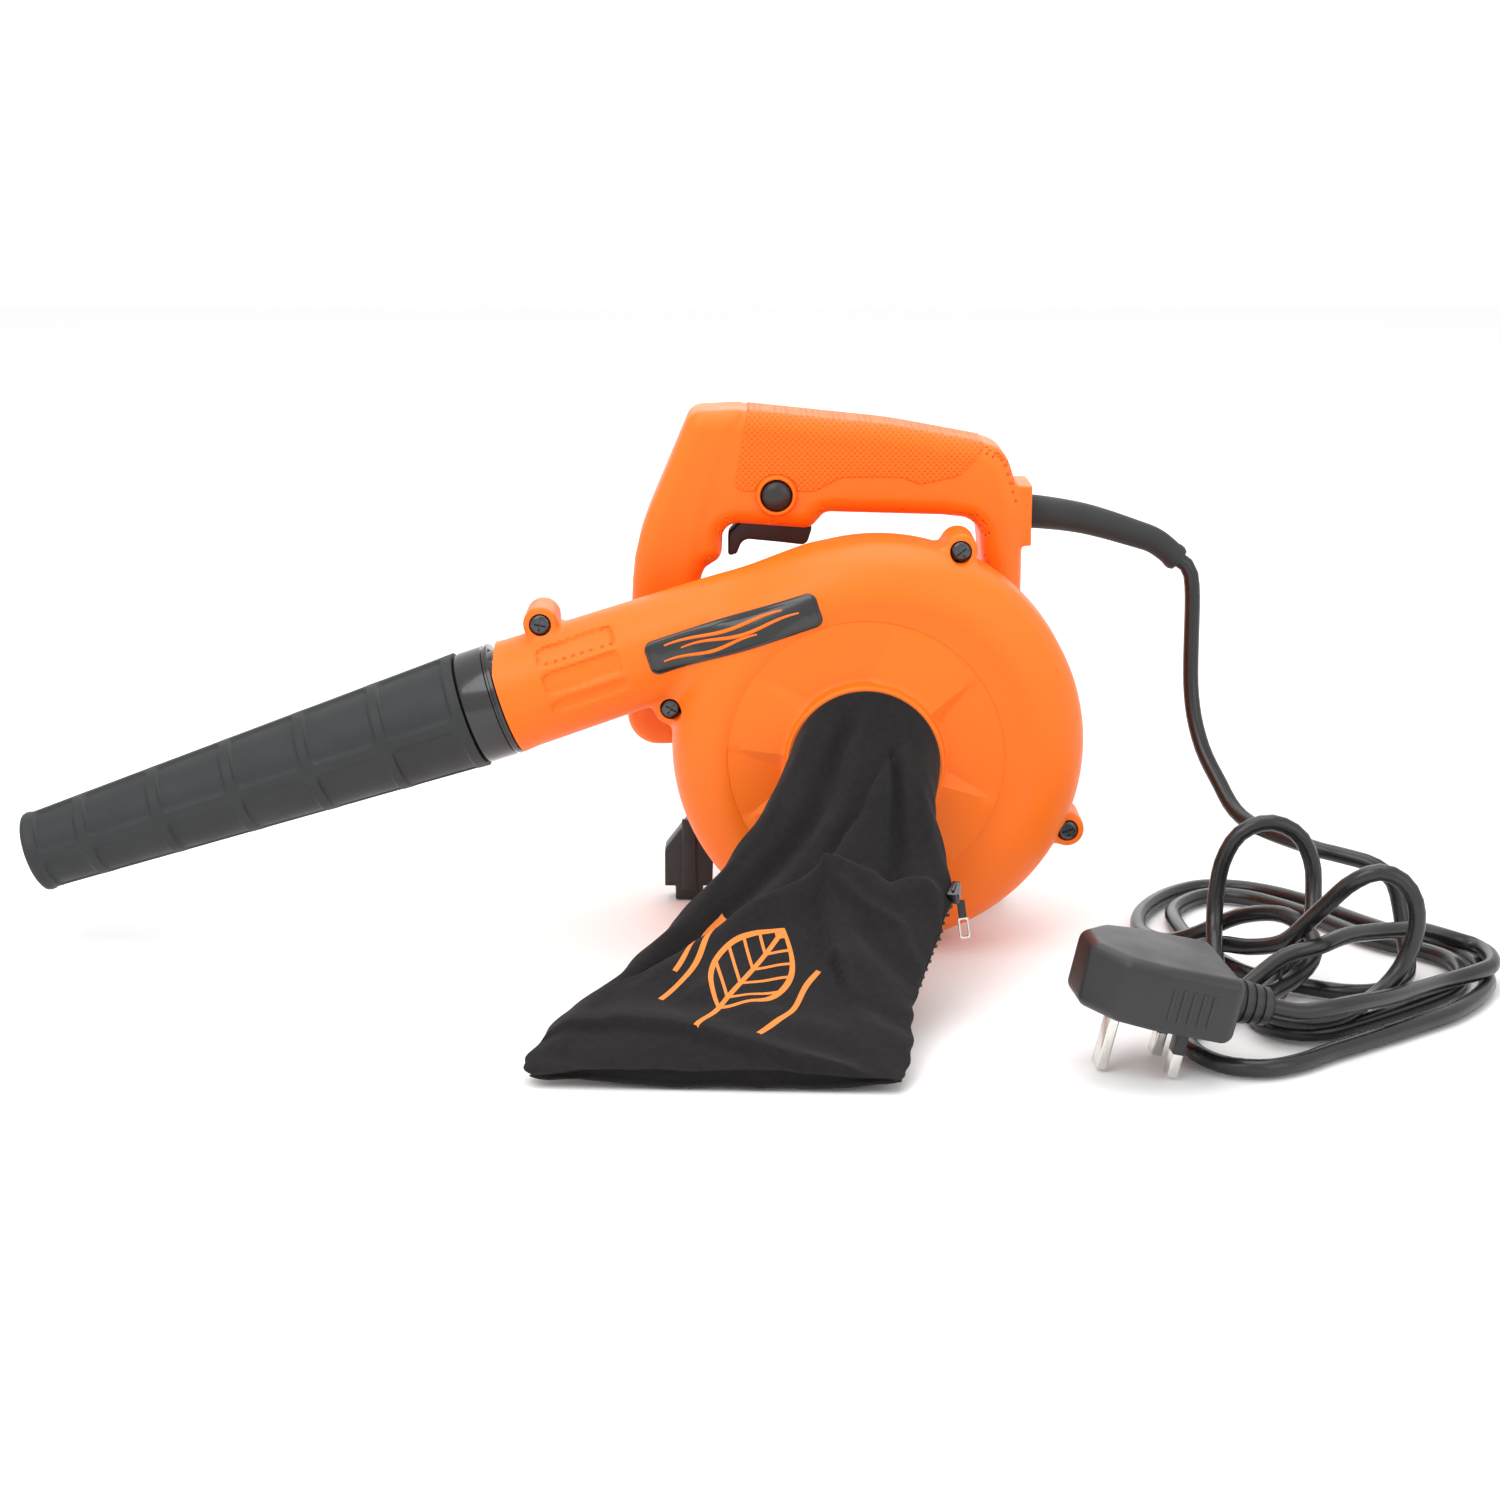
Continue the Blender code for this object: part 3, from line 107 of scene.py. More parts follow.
BAG_RINGS = (
    ((0.0000, -0.0365, 0.0000), (0.0290, 0.000, 0.000), (0.000, 0.000, 0.0290)),
    ((-0.0050, -0.0600, -0.0120), (0.0310, 0.000, -0.002), (0.000, 0.012, 0.0240)),
    ((-0.0100, -0.0850, -0.0300), (0.0400, 0.000, -0.006), (0.000, 0.013, 0.0170)),
    ((-0.0250, -0.1080, -0.0460), (0.0475, 0.000, -0.003), (0.000, 0.010, 0.0140)),
    ((-0.0380, -0.1280, -0.0575), (0.0540, 0.000, -0.001), (0.000, 0.006, 0.0115)),
    ((-0.0500, -0.1480, -0.0660), (0.0630, 0.000, 0.000), (0.000, 0.003, 0.0090)),
    ((-0.0560, -0.1680, -0.0730), (0.0665, -0.002, 0.000), (0.000, 0.001, 0.0068)),
    ((-0.0565, -0.1770, -0.0755), (0.0640, -0.003, 0.000), (0.000, 0.000, 0.0030)),
)
PLUG_TIP, PLUG_YAW = (0.0780, -0.1560), math.radians(6)
EARTH_LEN, LIVE_LEN, PIN_PITCH, LIVE_SPREAD = 0.0227, 0.0177, 0.0222, 0.0111
PLUG_TILT = math.asin((EARTH_LEN - LIVE_LEN) / PIN_PITCH)
PLUG_OUTLINE = (
    (-0.0165, -0.0090, 0.004), (-0.0060, -0.0215, 0.006), (0.0080, -0.0250, 0.010),
    (0.0365, -0.0250, 0.004), (0.0365, 0.0250, 0.004), (0.0080, 0.0250, 0.010),
    (-0.0060, 0.0215, 0.006), (-0.0165, 0.0090, 0.004),
)
GUARD_ROUTE = ((0.0600, 0.0470, 0.0855), (0.0720, 0.0470, 0.0855),
               (0.0920, 0.0470, 0.0826), (0.1130, 0.0465, 0.0765),
               (0.1220, 0.0458, 0.0730), (0.1312, 0.0448, 0.0657))
GUARD_ROOT_R, GUARD_TIP_R, GUARD_LIP = 0.0072, 0.0050, 0.0036
# past this x the cord is drawn in by CORD_EASE, so that its smooth curve stays beside the last lap
CORD_EASE_X, CORD_EASE = 0.2360, 0.6
CORD_ROUTE = (
    # hanging from the guard, over the back of the pile and down to the surface
    (0.1305, 0.0449, 0.0664), (0.135, 0.0444, 0.0625), (0.137, 0.0438, 0.052),
    (0.137, 0.038, 0.014), (0.140, 0.030, -0.006), (0.146, 0.019, -0.020), (0.155, 0.004, -0.033),
    (0.176, -0.022, -0.037), (0.188, -0.028, -0.039), (0.199, -0.034, -0.041),
    (0.206, -0.038, -0.046), (0.209, -0.041, -0.056), (0.210, -0.047, -0.068),
    (0.209, -0.059, -0.0757),
    # across the surface and once round both lobes of the hank
    (0.203, -0.072, -0.0764), (0.192, -0.083, -0.0764), (0.180, -0.084, -0.0764),
    (0.169, -0.079, -0.0764), (0.157, -0.071, -0.0764), (0.146, -0.062, -0.0764),
    (0.138, -0.044, -0.0764), (0.131, -0.021, -0.0764), (0.129, 0.013, -0.0764),
    (0.137, 0.031, -0.0764), (0.150, 0.041, -0.0764), (0.164, 0.037, -0.0764),
    (0.176, 0.025, -0.0764), (0.188, 0.008, -0.0764), (0.199, -0.012, -0.0764),
    (0.210, -0.026, -0.0764), (0.222, -0.035, -0.0764), (0.229, -0.047, -0.0764),
    (0.229, -0.063, -0.0764), (0.221, -0.080, -0.0764), (0.209, -0.093, -0.0764),
    (0.191, -0.108, -0.0764), (0.174, -0.121, -0.0764), (0.163, -0.128, -0.0764),
    (0.152, -0.128, -0.0764), (0.143, -0.120, -0.0764), (0.141, -0.108, -0.0764),
    (0.145, -0.094, -0.0764), (0.153, -0.083, -0.0732), (0.162, -0.072, -0.0680),
    # the standing loop beside the casing
    (0.171, -0.057, -0.057), (0.173, -0.050, -0.046), (0.172, -0.048, -0.035),
    (0.166, -0.048, -0.0245), (0.155, -0.048, -0.020), (0.144, -0.048, -0.0245),
    (0.138, -0.048, -0.035), (0.136, -0.048, -0.047), (0.135, -0.051, -0.058),
    (0.134, -0.060, -0.067),
    # round behind the plug
    (0.133, -0.078, -0.0745), (0.131, -0.091, -0.0764), (0.125, -0.101, -0.0764),
    (0.115, -0.104, -0.0764), (0.105, -0.100, -0.0764), (0.099, -0.089, -0.0764),
    (0.100, -0.075, -0.0764), (0.108, -0.060, -0.0764),
    (0.121, -0.049, -0.073), (0.136, -0.048, -0.069), (0.148, -0.058, -0.067),
    # the standing loop in front
    (0.157, -0.074, -0.060), (0.163, -0.086, -0.049), (0.170, -0.093, -0.038),
    (0.177, -0.098, -0.029), (0.186, -0.100, -0.0245), (0.195, -0.101, -0.028),
    (0.200, -0.102, -0.037), (0.200, -0.102, -0.049), (0.195, -0.103, -0.061),
    (0.187, -0.108, -0.068),
    # back through the middle
    (0.177, -0.119, -0.0695), (0.167, -0.130, -0.0695), (0.155, -0.135, -0.0695),
    (0.144, -0.130, -0.0695), (0.141, -0.118, -0.0695), (0.147, -0.106, -0.0695),
    (0.157, -0.097, -0.067), (0.166, -0.086, -0.063), (0.168, -0.073, -0.0575),
    (0.160, -0.058, -0.054), (0.146, -0.044, -0.059),
    # the outer lap of both lobes, then under the plug
    (0.131, -0.038, -0.068), (0.120, -0.029, -0.074), (0.113, -0.010, -0.0764),
    (0.116, 0.014, -0.0764), (0.128, 0.037, -0.0764), (0.145, 0.052, -0.0764),
    (0.162, 0.052, -0.0764), (0.177, 0.043, -0.0764), (0.190, 0.028, -0.0764),
    (0.201, 0.009, -0.0764), (0.212, -0.007, -0.0764), (0.224, -0.021, -0.0764),
    (0.236, -0.036, -0.0764), (0.240, -0.058, -0.0764), (0.233, -0.081, -0.0764),
    (0.217, -0.104, -0.0764), (0.197, -0.121, -0.0764), (0.176, -0.137, -0.0764),
    (0.160, -0.149, -0.0764), (0.148, -0.159, -0.0764), (0.135, -0.165, -0.0764),
    (0.122, -0.162, -0.0764), (0.114, -0.151, -0.0764), (0.112, -0.136, -0.0764),
    (0.118, -0.121, -0.0764), (0.129, -0.110, -0.0735), (0.141, -0.103, -0.0655),
    (0.153, -0.099, -0.0575),
    # the top lap of the right lobe, and into the plug
    (0.166, -0.096, -0.0545), (0.178, -0.085, -0.054), (0.190, -0.074, -0.056),
    (0.203, -0.065, -0.058), (0.213, -0.057, -0.0605), (0.222, -0.050, -0.0645),
    (0.231, -0.047, -0.0680), (0.239, -0.0505, -0.0697), (0.2425, -0.0595, -0.0697),
    (0.2395, -0.0705, -0.0697), (0.229, -0.081, -0.0697), (0.213, -0.093, -0.0697),
    (0.190, -0.121, -0.065), (0.173, -0.137, -0.062), (0.158, -0.146, -0.0615),
    (0.1485, -0.1486, -0.0616), (0.1387, -0.1496, -0.0594),
)
TIE_AT, TIE_R, TIE_WIRE_R = Vector((0.1555, -0.0905, -0.0675)), 0.0115, 0.0008
PRINT_AT, PRINT_TURN, LEAF_LEN, LEAF_WIDTH = (-0.044, -0.134), 58, 0.0225, 0.0150
RIM_WIDTH, RIB_HALF, VEIN_PITCH, VEIN_SHARE = 0.0022, 0.0009, 0.0085, 0.19
STEM_HALF, STEM_AT, STEM_REACH = 0.0010, 0.029, 0.0075
WIND_LINES = ((0.0205, -0.004, 0.022), (0.0255, 0.004, 0.017), (-0.0205, -0.006, 0.020))
WAVE_RATE, WAVE_HEIGHT = 170.0, 0.0014
ORANGE, PRINT_INK = (0.92, 0.165, 0.006), (0.92, 0.27, 0.06)
THREAD_RATE, DOT_PITCH = 5200.0, 0.00235
ZIP_AT, ZIP_RUN = Vector((0.0317, -0.0860, -0.0366)), Vector((-0.014, -0.043, -0.022))

along_tube = Vector((math.cos(TUBE_TILT), 0, math.sin(TUBE_TILT)))
above_tube = Vector((-math.sin(TUBE_TILT), 0, math.cos(TUBE_TILT)))
tube_end = TUBE_S * along_tube + TUBE_H * above_tube
TURN_Y = Matrix.Rotation(math.radians(-90), 4, "X")      # local Z to +Y
OUTLET = Matrix.Translation(tube_end) @ Matrix.Rotation(-math.radians(90) - TUBE_TILT, 4, "Y")
BADGE = (Matrix.Translation(-0.033 * along_tube + 0.0625 * above_tube)
         @ Matrix.Rotation(-TUBE_TILT, 4, "Y"))


# ---------------------------------------------------------------- camera, light and floor
def camera_and_stage():
    scene = bpy.context.scene
    target = Vector((0.0798, 0.0290, 0.0767))
    rise = math.radians(14)
    data = bpy.data.cameras.new("camera")
    data.lens, data.sensor_width = 66, 36
    data.clip_start, data.clip_end = 0.05, 20
    camera = bpy.data.objects.new("camera", data)
    camera.location = target + 1.1 * Vector((0, -math.cos(rise), math.sin(rise)))
    camera.rotation_euler = (target - camera.location).to_track_quat("-Z", "Y").to_euler()
    scene.collection.objects.link(camera)
    scene.camera = camera
    scene.view_settings.view_transform = "Standard"
    lights = (
        ("key", (-0.7, -1.1, 1.5), 1.1, 11.0), ("fill", (1.3, -1.2, 0.9), 1.2, 4.5),
        ("top", (0.1, 0.2, 1.9), 1.6, 15.0), ("back", (0.2, 1.6, 1.0), 1.4, 7.0),
    )
    for name, spot, size, power in lights:
        lamp = bpy.data.lights.new(name, "AREA")
        lamp.size, lamp.energy = size, power
        made = bpy.data.objects.new(name, lamp)
        made.location = spot
        aim = Vector((0.08, 0.0, 0.05)) - made.location
        made.rotation_euler = aim.to_track_quat("-Z", "Y").to_euler()
        scene.collection.objects.link(made)
    world = bpy.data.worlds.new("studio")
    world.use_nodes = True
    world.node_tree.nodes["Background"].inputs["Color"].default_value = (1, 1, 1, 1)
    world.node_tree.nodes["Background"].inputs["Strength"].default_value = 1.0
    scene.world = world
    bm = bmesh.new()
    bmesh.ops.create_grid(bm, x_segments=1, y_segments=1, size=3.0)
    mesh = bpy.data.meshes.new("floor")
    bm.to_mesh(mesh)
    bm.free()
    floor = bpy.data.objects.new("floor", mesh)
    floor.location = (0, 0, -0.0004)
    scene.collection.objects.link(floor)
    pale = bpy.data.materials.new("pale_floor")
    pale.use_nodes = True
    shader = pale.node_tree.nodes["Principled BSDF"]
    shader.inputs["Base Color"].default_value = (0.93, 0.93, 0.93, 1)
    shader.inputs["Roughness"].default_value = 0.85
    mesh.materials.append(pale)


# ---------------------------------------------------------------- materials
class Value:
    """A number that nodes work out, so that a mask can be written as a formula."""

    def __init__(self, finish, socket):
        self.finish, self.socket = finish, socket

    def made(self, operation, *others):
        plain = [other.socket if isinstance(other, Value) else other for other in others]
        return Value(self.finish, self.finish.math(operation, self.socket, *plain))

    def __add__(self, other):
        return self.made("ADD", other)

    def __sub__(self, other):
        return self.made("SUBTRACT", other)

    def __mul__(self, other):
        return self.made("MULTIPLY", other)

    def __truediv__(self, other):
        return self.made("DIVIDE", other)

    def __lt__(self, other):
        return self.made("LESS_THAN", other)

    def __or__(self, other):
        return self.made("MAXIMUM", other)

    def __abs__(self):
        return self.made("ABSOLUTE")

    def sine(self):
        return self.made("SINE")


class Finish:
    """Node shorthand for one procedural material."""

    def __init__(self, name, color, roughness, metallic=0.0, **sockets):
        self.material = bpy.data.materials.new(name)
        self.material.use_nodes = True
        self.tree = self.material.node_tree
        self.shader = self.tree.nodes["Principled BSDF"]
        self.shader.inputs["Base Color"].default_value = (*color, 1)
        self.shader.inputs["Roughness"].default_value = roughness
        self.shader.inputs["Metallic"].default_value = metallic
        for socket, value in sockets.items():
            self.shader.inputs[socket.replace("_", " ")].default_value = value
        self.spot = self.tree.nodes.new("ShaderNodeTexCoord").outputs["Object"]
        self.normal = None
        self.color, self.roughness = color, roughness

    def node(self, kind, **values):
        made = self.tree.nodes.new(f"ShaderNode{kind}")
        for key, value in values.items():
            setattr(made, key, value)
        return made

    def math(self, operation, a, b=0.0, c=0.0):
        made = self.node("Math", operation=operation)
        for socket, value in zip(made.inputs, (a, b, c)):
            if isinstance(value, (int, float)):
                socket.default_value = value
            else:
                self.tree.links.new(value, socket)
        return made.outputs[0]

    def noise(self, scale, detail=3.0, stretch=None):
        made = self.node("TexNoise")
        made.inputs["Scale"].default_value = scale
        made.inputs["Detail"].default_value = detail
        source = self.spot
        if stretch:
            mapping = self.node("Mapping")
            mapping.inputs["Scale"].default_value = stretch
            self.tree.links.new(source, mapping.inputs["Vector"])
            source = mapping.outputs[0]
        self.tree.links.new(source, made.inputs["Vector"])
        return made.outputs["Fac"]

    def bump(self, height, distance, strength=1.0):
        made = self.node("Bump")
        made.inputs["Distance"].default_value = distance
        made.inputs["Strength"].default_value = strength
        self.tree.links.new(height, made.inputs["Height"])
        if self.normal:
            self.tree.links.new(self.normal, made.inputs["Normal"])
        self.normal = made.outputs[0]
        self.tree.links.new(self.normal, self.shader.inputs["Normal"])

    def ramp(self, factor, low, high, start=0.3, end=0.7):
        made = self.node("MapRange")
        made.inputs["From Min"].default_value = start
        made.inputs["From Max"].default_value = end
        made.inputs["To Min"].default_value = low
        made.inputs["To Max"].default_value = high
        self.tree.links.new(factor, made.inputs["Value"])
        return made.outputs[0]

    def vary_roughness(self, factor, spread):
        rough = self.ramp(factor, self.roughness - spread, self.roughness + spread)
        self.tree.links.new(rough, self.shader.inputs["Roughness"])

    def mix(self, factor, first, second):
        """first where factor is 0 and second where it is 1, each a colour or a socket."""
        made = self.node("Mix", data_type="RGBA")
        self.tree.links.new(factor, made.inputs[0])
        for socket, value in ((made.inputs[6], first), (made.inputs[7], second)):
            if isinstance(value, tuple):
                socket.default_value = (*value, 1)
            else:
                self.tree.links.new(value, socket)
        self.tree.links.new(made.outputs[2], self.shader.inputs["Base Color"])
        return made.outputs[2]

    def parts(self):
        split = self.node("SeparateXYZ")
        self.tree.links.new(self.spot, split.inputs[0])
        return split.outputs[0], split.outputs[1], split.outputs[2]

    def edge_wear(self, base, worn, amount=0.5):
        """A lighter tone on sharp convex edges, broken up by noise."""
        point = self.node("NewGeometry").outputs["Pointiness"]
        edge = self.ramp(point, 0.0, amount, 0.52, 0.60)
        worn_here = self.math("MULTIPLY", edge, self.ramp(self.noise(140), 0.2, 1.0))
        return self.mix(worn_here, base, worn)


def shade(color, factor):
    return tuple(min(1.0, c * factor) for c in color)


def moulded(name, color, roughness, grain, depth, spread=0.06, worn=1.25, **sockets):
    """Moulded plastic: fine grain, slow colour drift, satin variation and edge wear."""
    made = Finish(name, color, roughness, **sockets)
    drift = made.mix(made.noise(11.0), shade(color, 0.97), shade(color, 1.03))
    made.edge_wear(drift, shade(color, worn), 0.35)
    made.vary_roughness(made.noise(55.0), spread)
    made.bump(made.noise(grain, 2.0), depth)
    return made


def metal(name, color, roughness, stretch=(1, 1, 1), **sockets):
    made = Finish(name, color, roughness, 1.0, **sockets)
    lines = made.noise(900, 2.0, stretch)
    made.mix(lines, shade(color, 0.86), shade(color, 1.08))
    made.vary_roughness(made.noise(90), 0.08)
    made.bump(lines, 0.00003)
    return made


def cloth_finish(name, color, prints):
    made = Finish(name, color, 0.93, Sheen_Weight=0.06, Sheen_Roughness=0.5,
                  Specular_IOR_Level=0.12)
    x, y, z = (Value(made, socket) for socket in made.parts())
    threads = (x * THREAD_RATE).sine() * ((y + z) * THREAD_RATE).sine()
    weave = threads.made("MULTIPLY_ADD", 0.5, 0.5).socket
    lint = made.noise(420, 4.0)
    base = made.mix(made.math("MULTIPLY", weave, made.ramp(lint, 0.4, 1.0)), shade(color, 0.72),
                    shade(color, 1.55))
    if prints:
        mask = print_mask(made)
        faded = made.math("MULTIPLY", mask, made.ramp(weave, 0.86, 1.0, 0.0, 1.0))
        made.mix(faded, base, PRINT_INK)
    made.bump(made.noise(60, 4.0), 0.0008)
    made.bump(weave, 0.00012)
    return made


def print_mask(made):
    """A plain leaf with veins and three lines of wind, on the slope of the bag."""
    x, y, _ = (Value(made, socket) for socket in made.parts())
    turn = math.radians(PRINT_TURN)
    dx, dy = x - (AXIS.x + PRINT_AT[0]), y - (AXIS.y + PRINT_AT[1])
    p = dx * math.cos(turn) + dy * math.sin(turn)
    q = dy * math.cos(turn) - dx * math.sin(turn)
    side, share = abs(q), p / LEAF_LEN
    width = (share * share * -1.0 + 1.0) * LEAF_WIDTH
    inside = side < width
    rim = inside - (side < width - RIM_WIDTH)
    slant = ((p - side) / VEIN_PITCH).made("FRACT")
    drawn = ((side < RIB_HALF) | (slant < VEIN_SHARE)) * inside
    stem = (side < STEM_HALF) * (abs(p + STEM_AT) < STEM_REACH)
    mask = rim | drawn | stem
    for offset, start, reach in WIND_LINES:
        wave = (p * WAVE_RATE).sine() * WAVE_HEIGHT
        mask = mask | ((abs(q - offset - wave) < STEM_HALF) * (abs(p - start) < reach))
    return mask.socket


def finishes():
    made = {
        "orange": moulded("orange_plastic", ORANGE, 0.42, 1500, 0.00004, 0.04, 1.1,
                          Specular_IOR_Level=0.32),
        "black_gloss": moulded("gloss_black_plastic", (0.013, 0.013, 0.014), 0.20, 700, 0.00002,
                               0.05, 2.0, Coat_Weight=0.3),
        "black_plastic": moulded("satin_black_plastic", (0.017, 0.017, 0.018), 0.42, 1300,
                                 0.00005, 0.06, 2.2),
        "rubber": moulded("moulded_rubber", (0.021, 0.0225, 0.0235), 0.58, 1700, 0.00007, 0.07,
                          1.5, Specular_IOR_Level=0.4),
        "cord": moulded("cord_jacket", (0.012, 0.0115, 0.0115), 0.27, 500, 0.00003, 0.05, 1.6),
        "cloth": cloth_finish("bag_cloth", (0.017, 0.0155, 0.0160), True),
        "band": cloth_finish("band_cloth", (0.016, 0.015, 0.0155), False),
        "steel": metal("turned_steel", (0.56, 0.56, 0.57), 0.30, (1, 12, 1)),
        "nickel": metal("plated_nickel", (0.72, 0.70, 0.66), 0.22),
        "dark_screw": metal("blacked_steel", (0.085, 0.085, 0.09), 0.26),
        "copper": metal("enamelled_copper", (0.70, 0.30, 0.12), 0.34, (1, 1, 9)),
        "brass": metal("drawn_brass", (0.74, 0.56, 0.25), 0.32, (9, 1, 1)),
        "iron": metal("laminated_iron", (0.31, 0.32, 0.34), 0.42, (1, 30, 1)),
        "carbon": moulded("brush_carbon", (0.045, 0.045, 0.047), 0.62, 900, 0.00006),
        "white_nylon": moulded("white_nylon", (0.74, 0.73, 0.69), 0.48, 900, 0.00004, 0.05, 1.05),
    }
    grip = moulded("dotted_grip", shade(ORANGE, 0.97), 0.50, 1500, 0.00003, 0.04, 1.05,
                   Specular_IOR_Level=0.28)
    x, _, z = (Value(grip, socket) for socket in grip.parts())
    rate = math.tau / DOT_PITCH
    dots = (x * rate).sine() * (z * rate).sine()
    grip.bump(grip.ramp(dots.socket, 0.0, 1.0, 0.15, 0.75), 0.00045)
    made["orange_grip"] = grip
    return {name: finish.material for name, finish in made.items()}


# ---------------------------------------------------------------- making pieces
def piece(name, mesh, finish, body="machine", nodes=(), matrix=None, bend=35):
    """A finished mesh in its place: material, smoothing, body and replaced nodes."""
    mesh.name = name
    if matrix is not None:
        mesh.transform(matrix)
    mesh.transform(Matrix.Translation(AXIS))
    made = bpy.data.objects.new(name, mesh)
    bpy.context.scene.collection.objects.link(made)
    mesh.materials.clear()
    mesh.materials.append(LOOKS[finish])
    mesh.shade_smooth()
    if bend:
        mesh.set_sharp_from_angle(angle=math.radians(bend))
    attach(made, body)
    if nodes:
        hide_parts(*nodes)
    return made


def to_mesh(bm):
    bmesh.ops.recalc_face_normals(bm, faces=bm.faces)
    mesh = bpy.data.meshes.new("shape")
    bm.to_mesh(mesh)
    bm.free()
    return mesh


def joined(*meshes):
    """Several closed shells in one mesh."""
    bm = bmesh.new()
    for mesh in meshes:
        bm.from_mesh(mesh)
        bpy.data.meshes.remove(mesh)
    mesh = bpy.data.meshes.new("joined")
    bm.to_mesh(mesh)
    bm.free()
    return mesh


def combined(mesh, *steps):
    """The mesh after exact Boolean steps, each an operation and its tool."""
    holder = bpy.data.objects.new("holder", mesh)
    bpy.context.scene.collection.objects.link(holder)
    tools = []
    for operation, tool in steps:
        cutter = bpy.data.objects.new("tool", tool)
        bpy.context.scene.collection.objects.link(cutter)
        tools.append(cutter)
        step = holder.modifiers.new("step", "BOOLEAN")
        step.operation, step.object, step.solver = operation, cutter, "EXACT"
    bpy.context.view_layer.update()
    seen = holder.evaluated_get(bpy.context.evaluated_depsgraph_get())
    result = bpy.data.meshes.new_from_object(seen)
    for item in (holder, *tools):
        data = item.data
        bpy.data.objects.remove(item)
        bpy.data.meshes.remove(data)
    return result


def bridged(bm, rows, closed=False):
    """Quads between rings of vertices, and from the last ring to the first where closed."""
    for near, far in zip(rows, rows[1:] + rows[:1] if closed else rows[1:]):
        for i in range(len(near)):
            after = (i + 1) % len(near)
            bm.faces.new((near[i], near[after], far[after], far[i]))


def rim_edges(bm, row):
    return [bm.edges.get(pair) for pair in zip(row, row[1:] + row[:1])]


def turned(profile, steps=96):
    """A body of revolution about local Z from (radius, height) points in order."""
    bm = bmesh.new()
    closed = min(r for r, _ in profile) > 0
    rows = []
    for r, z in profile:
        if r == 0:
            rows.append([bm.verts.new((0, 0, z))])
            continue
        rows.append([bm.verts.new((r * math.cos(math.tau * k / steps),
                                   r * math.sin(math.tau * k / steps), z))
                     for k in range(steps)])
    pairs = list(zip(rows, rows[1:]))
    if closed:
        pairs.append((rows[-1], rows[0]))
    for near, far in pairs:
        for k in range(steps):
            after = (k + 1) % steps
            ring = [near[k % len(near)], near[after % len(near)], far[after % len(far)],
                    far[k % len(far)]]
            face = list(dict.fromkeys(ring))
            if len(face) > 2:
                bm.faces.new(face)
    return to_mesh(bm)


def lathe_arc(points, middle, radius, start, end, pieces=5):
    """Add an arc to a turned profile, by its middle and angles in degrees."""
    for k in range(pieces + 1):
        angle = math.radians(start + (end - start) * k / pieces)
        points.append((middle[0] + radius * math.cos(angle), middle[1] + radius * math.sin(angle)))


def rods(spots, radius, low, high, segments=48):
    """Cylinders along Y at (x, z) spots."""
    bm = bmesh.new()
    for x, z in spots:
        shape = Matrix.Translation((x, (low + high) / 2, z)) @ TURN_Y
        bmesh.ops.create_cone(bm, cap_ends=True, segments=segments, radius1=radius,
                              radius2=radius, depth=high - low, matrix=shape)
    return to_mesh(bm)


def block(centre, size, round_by=0.0, matrix=None, segments=3):
    """A box with rounded edges."""
    bm = bmesh.new()
    bmesh.ops.create_cube(bm, size=1, matrix=Matrix.Translation(centre)
                          @ Matrix.Diagonal((*size, 1)))
    if round_by:
        bmesh.ops.bevel(bm, geom=bm.edges[:], offset=round_by, segments=segments, profile=0.5,
                        affect="EDGES")
    mesh = to_mesh(bm)
    if matrix is not None:
        mesh.transform(matrix)
    return mesh


def rounded(corners, step=8):
    """Outline through corners (x, z, radius), each corner rounded by an arc."""
    points = []
    count = len(corners)
    for i, (x, z, radius) in enumerate(corners):
        here = Vector((x, z))
        if radius == 0:
            points.append(here)
            continue
        back = Vector(corners[i - 1][:2]) - here
        ahead = Vector(corners[(i + 1) % count][:2]) - here
        turn = math.pi - back.angle(ahead)
        reach = min(radius * math.tan(turn / 2), 0.45 * back.length, 0.45 * ahead.length)
        radius = reach / math.tan(turn / 2)
        middle = here + (back.normalized() + ahead.normalized()).normalized() * (
            radius / math.cos(turn / 2))
        start = here + back.normalized() * reach - middle
        end = here + ahead.normalized() * reach - middle
        sweep = start.angle_signed(end)
        pieces = max(1, round(math.degrees(turn) / step))
        for k in range(pieces + 1):
            angle = -sweep * k / pieces
            arm = Vector((start.x * math.cos(angle) - start.y * math.sin(angle),
                          start.x * math.sin(angle) + start.y * math.cos(angle)))
            points.append(middle + arm)
    return points


def moved(corners, inset):
    """The corners of an outline moved inwards, with the radii that keep it parallel."""
    area = sum(a[0] * b[1] - b[0] * a[1] for a, b in zip(corners, corners[1:] + corners[:1]))
    side = math.copysign(1, area)
    made = []
    for i, (x, z, radius) in enumerate(corners):
        here = Vector((x, z))
        into = (here - Vector(corners[i - 1][:2])).normalized()
        out = (Vector(corners[(i + 1) % len(corners)][:2]) - here).normalized()
        first, second = Vector((-into.y, into.x)), Vector((-out.y, out.x))
        spot = here + (first + second) / (1 + first.dot(second)) * side * inset
        shrink = math.copysign(1, into.cross(out)) * side * inset
        made.append((spot.x, spot.y, max(radius - shrink, 0.0005) if radius else 0))
    return made


def prism(outlines, levels, step=8):
    """Outlines in XZ, the later ones holes, lofted through (y, inset) levels and capped."""
    bm = bmesh.new()
    rims = ([], [])
    for k, corners in enumerate(outlines):
        rows = []
        for y, inset in levels:
            outline = rounded(moved(corners, -inset if k else inset), step)
            rows.append([bm.verts.new((point.x, y, point.y)) for point in outline])
        bridged(bm, rows)
        for rim, row in zip(rims, (rows[0], rows[-1])):
            rim += rim_edges(bm, row)
    for rim in rims:
        bmesh.ops.triangle_fill(bm, use_beauty=True, edges=rim)
    return to_mesh(bm)


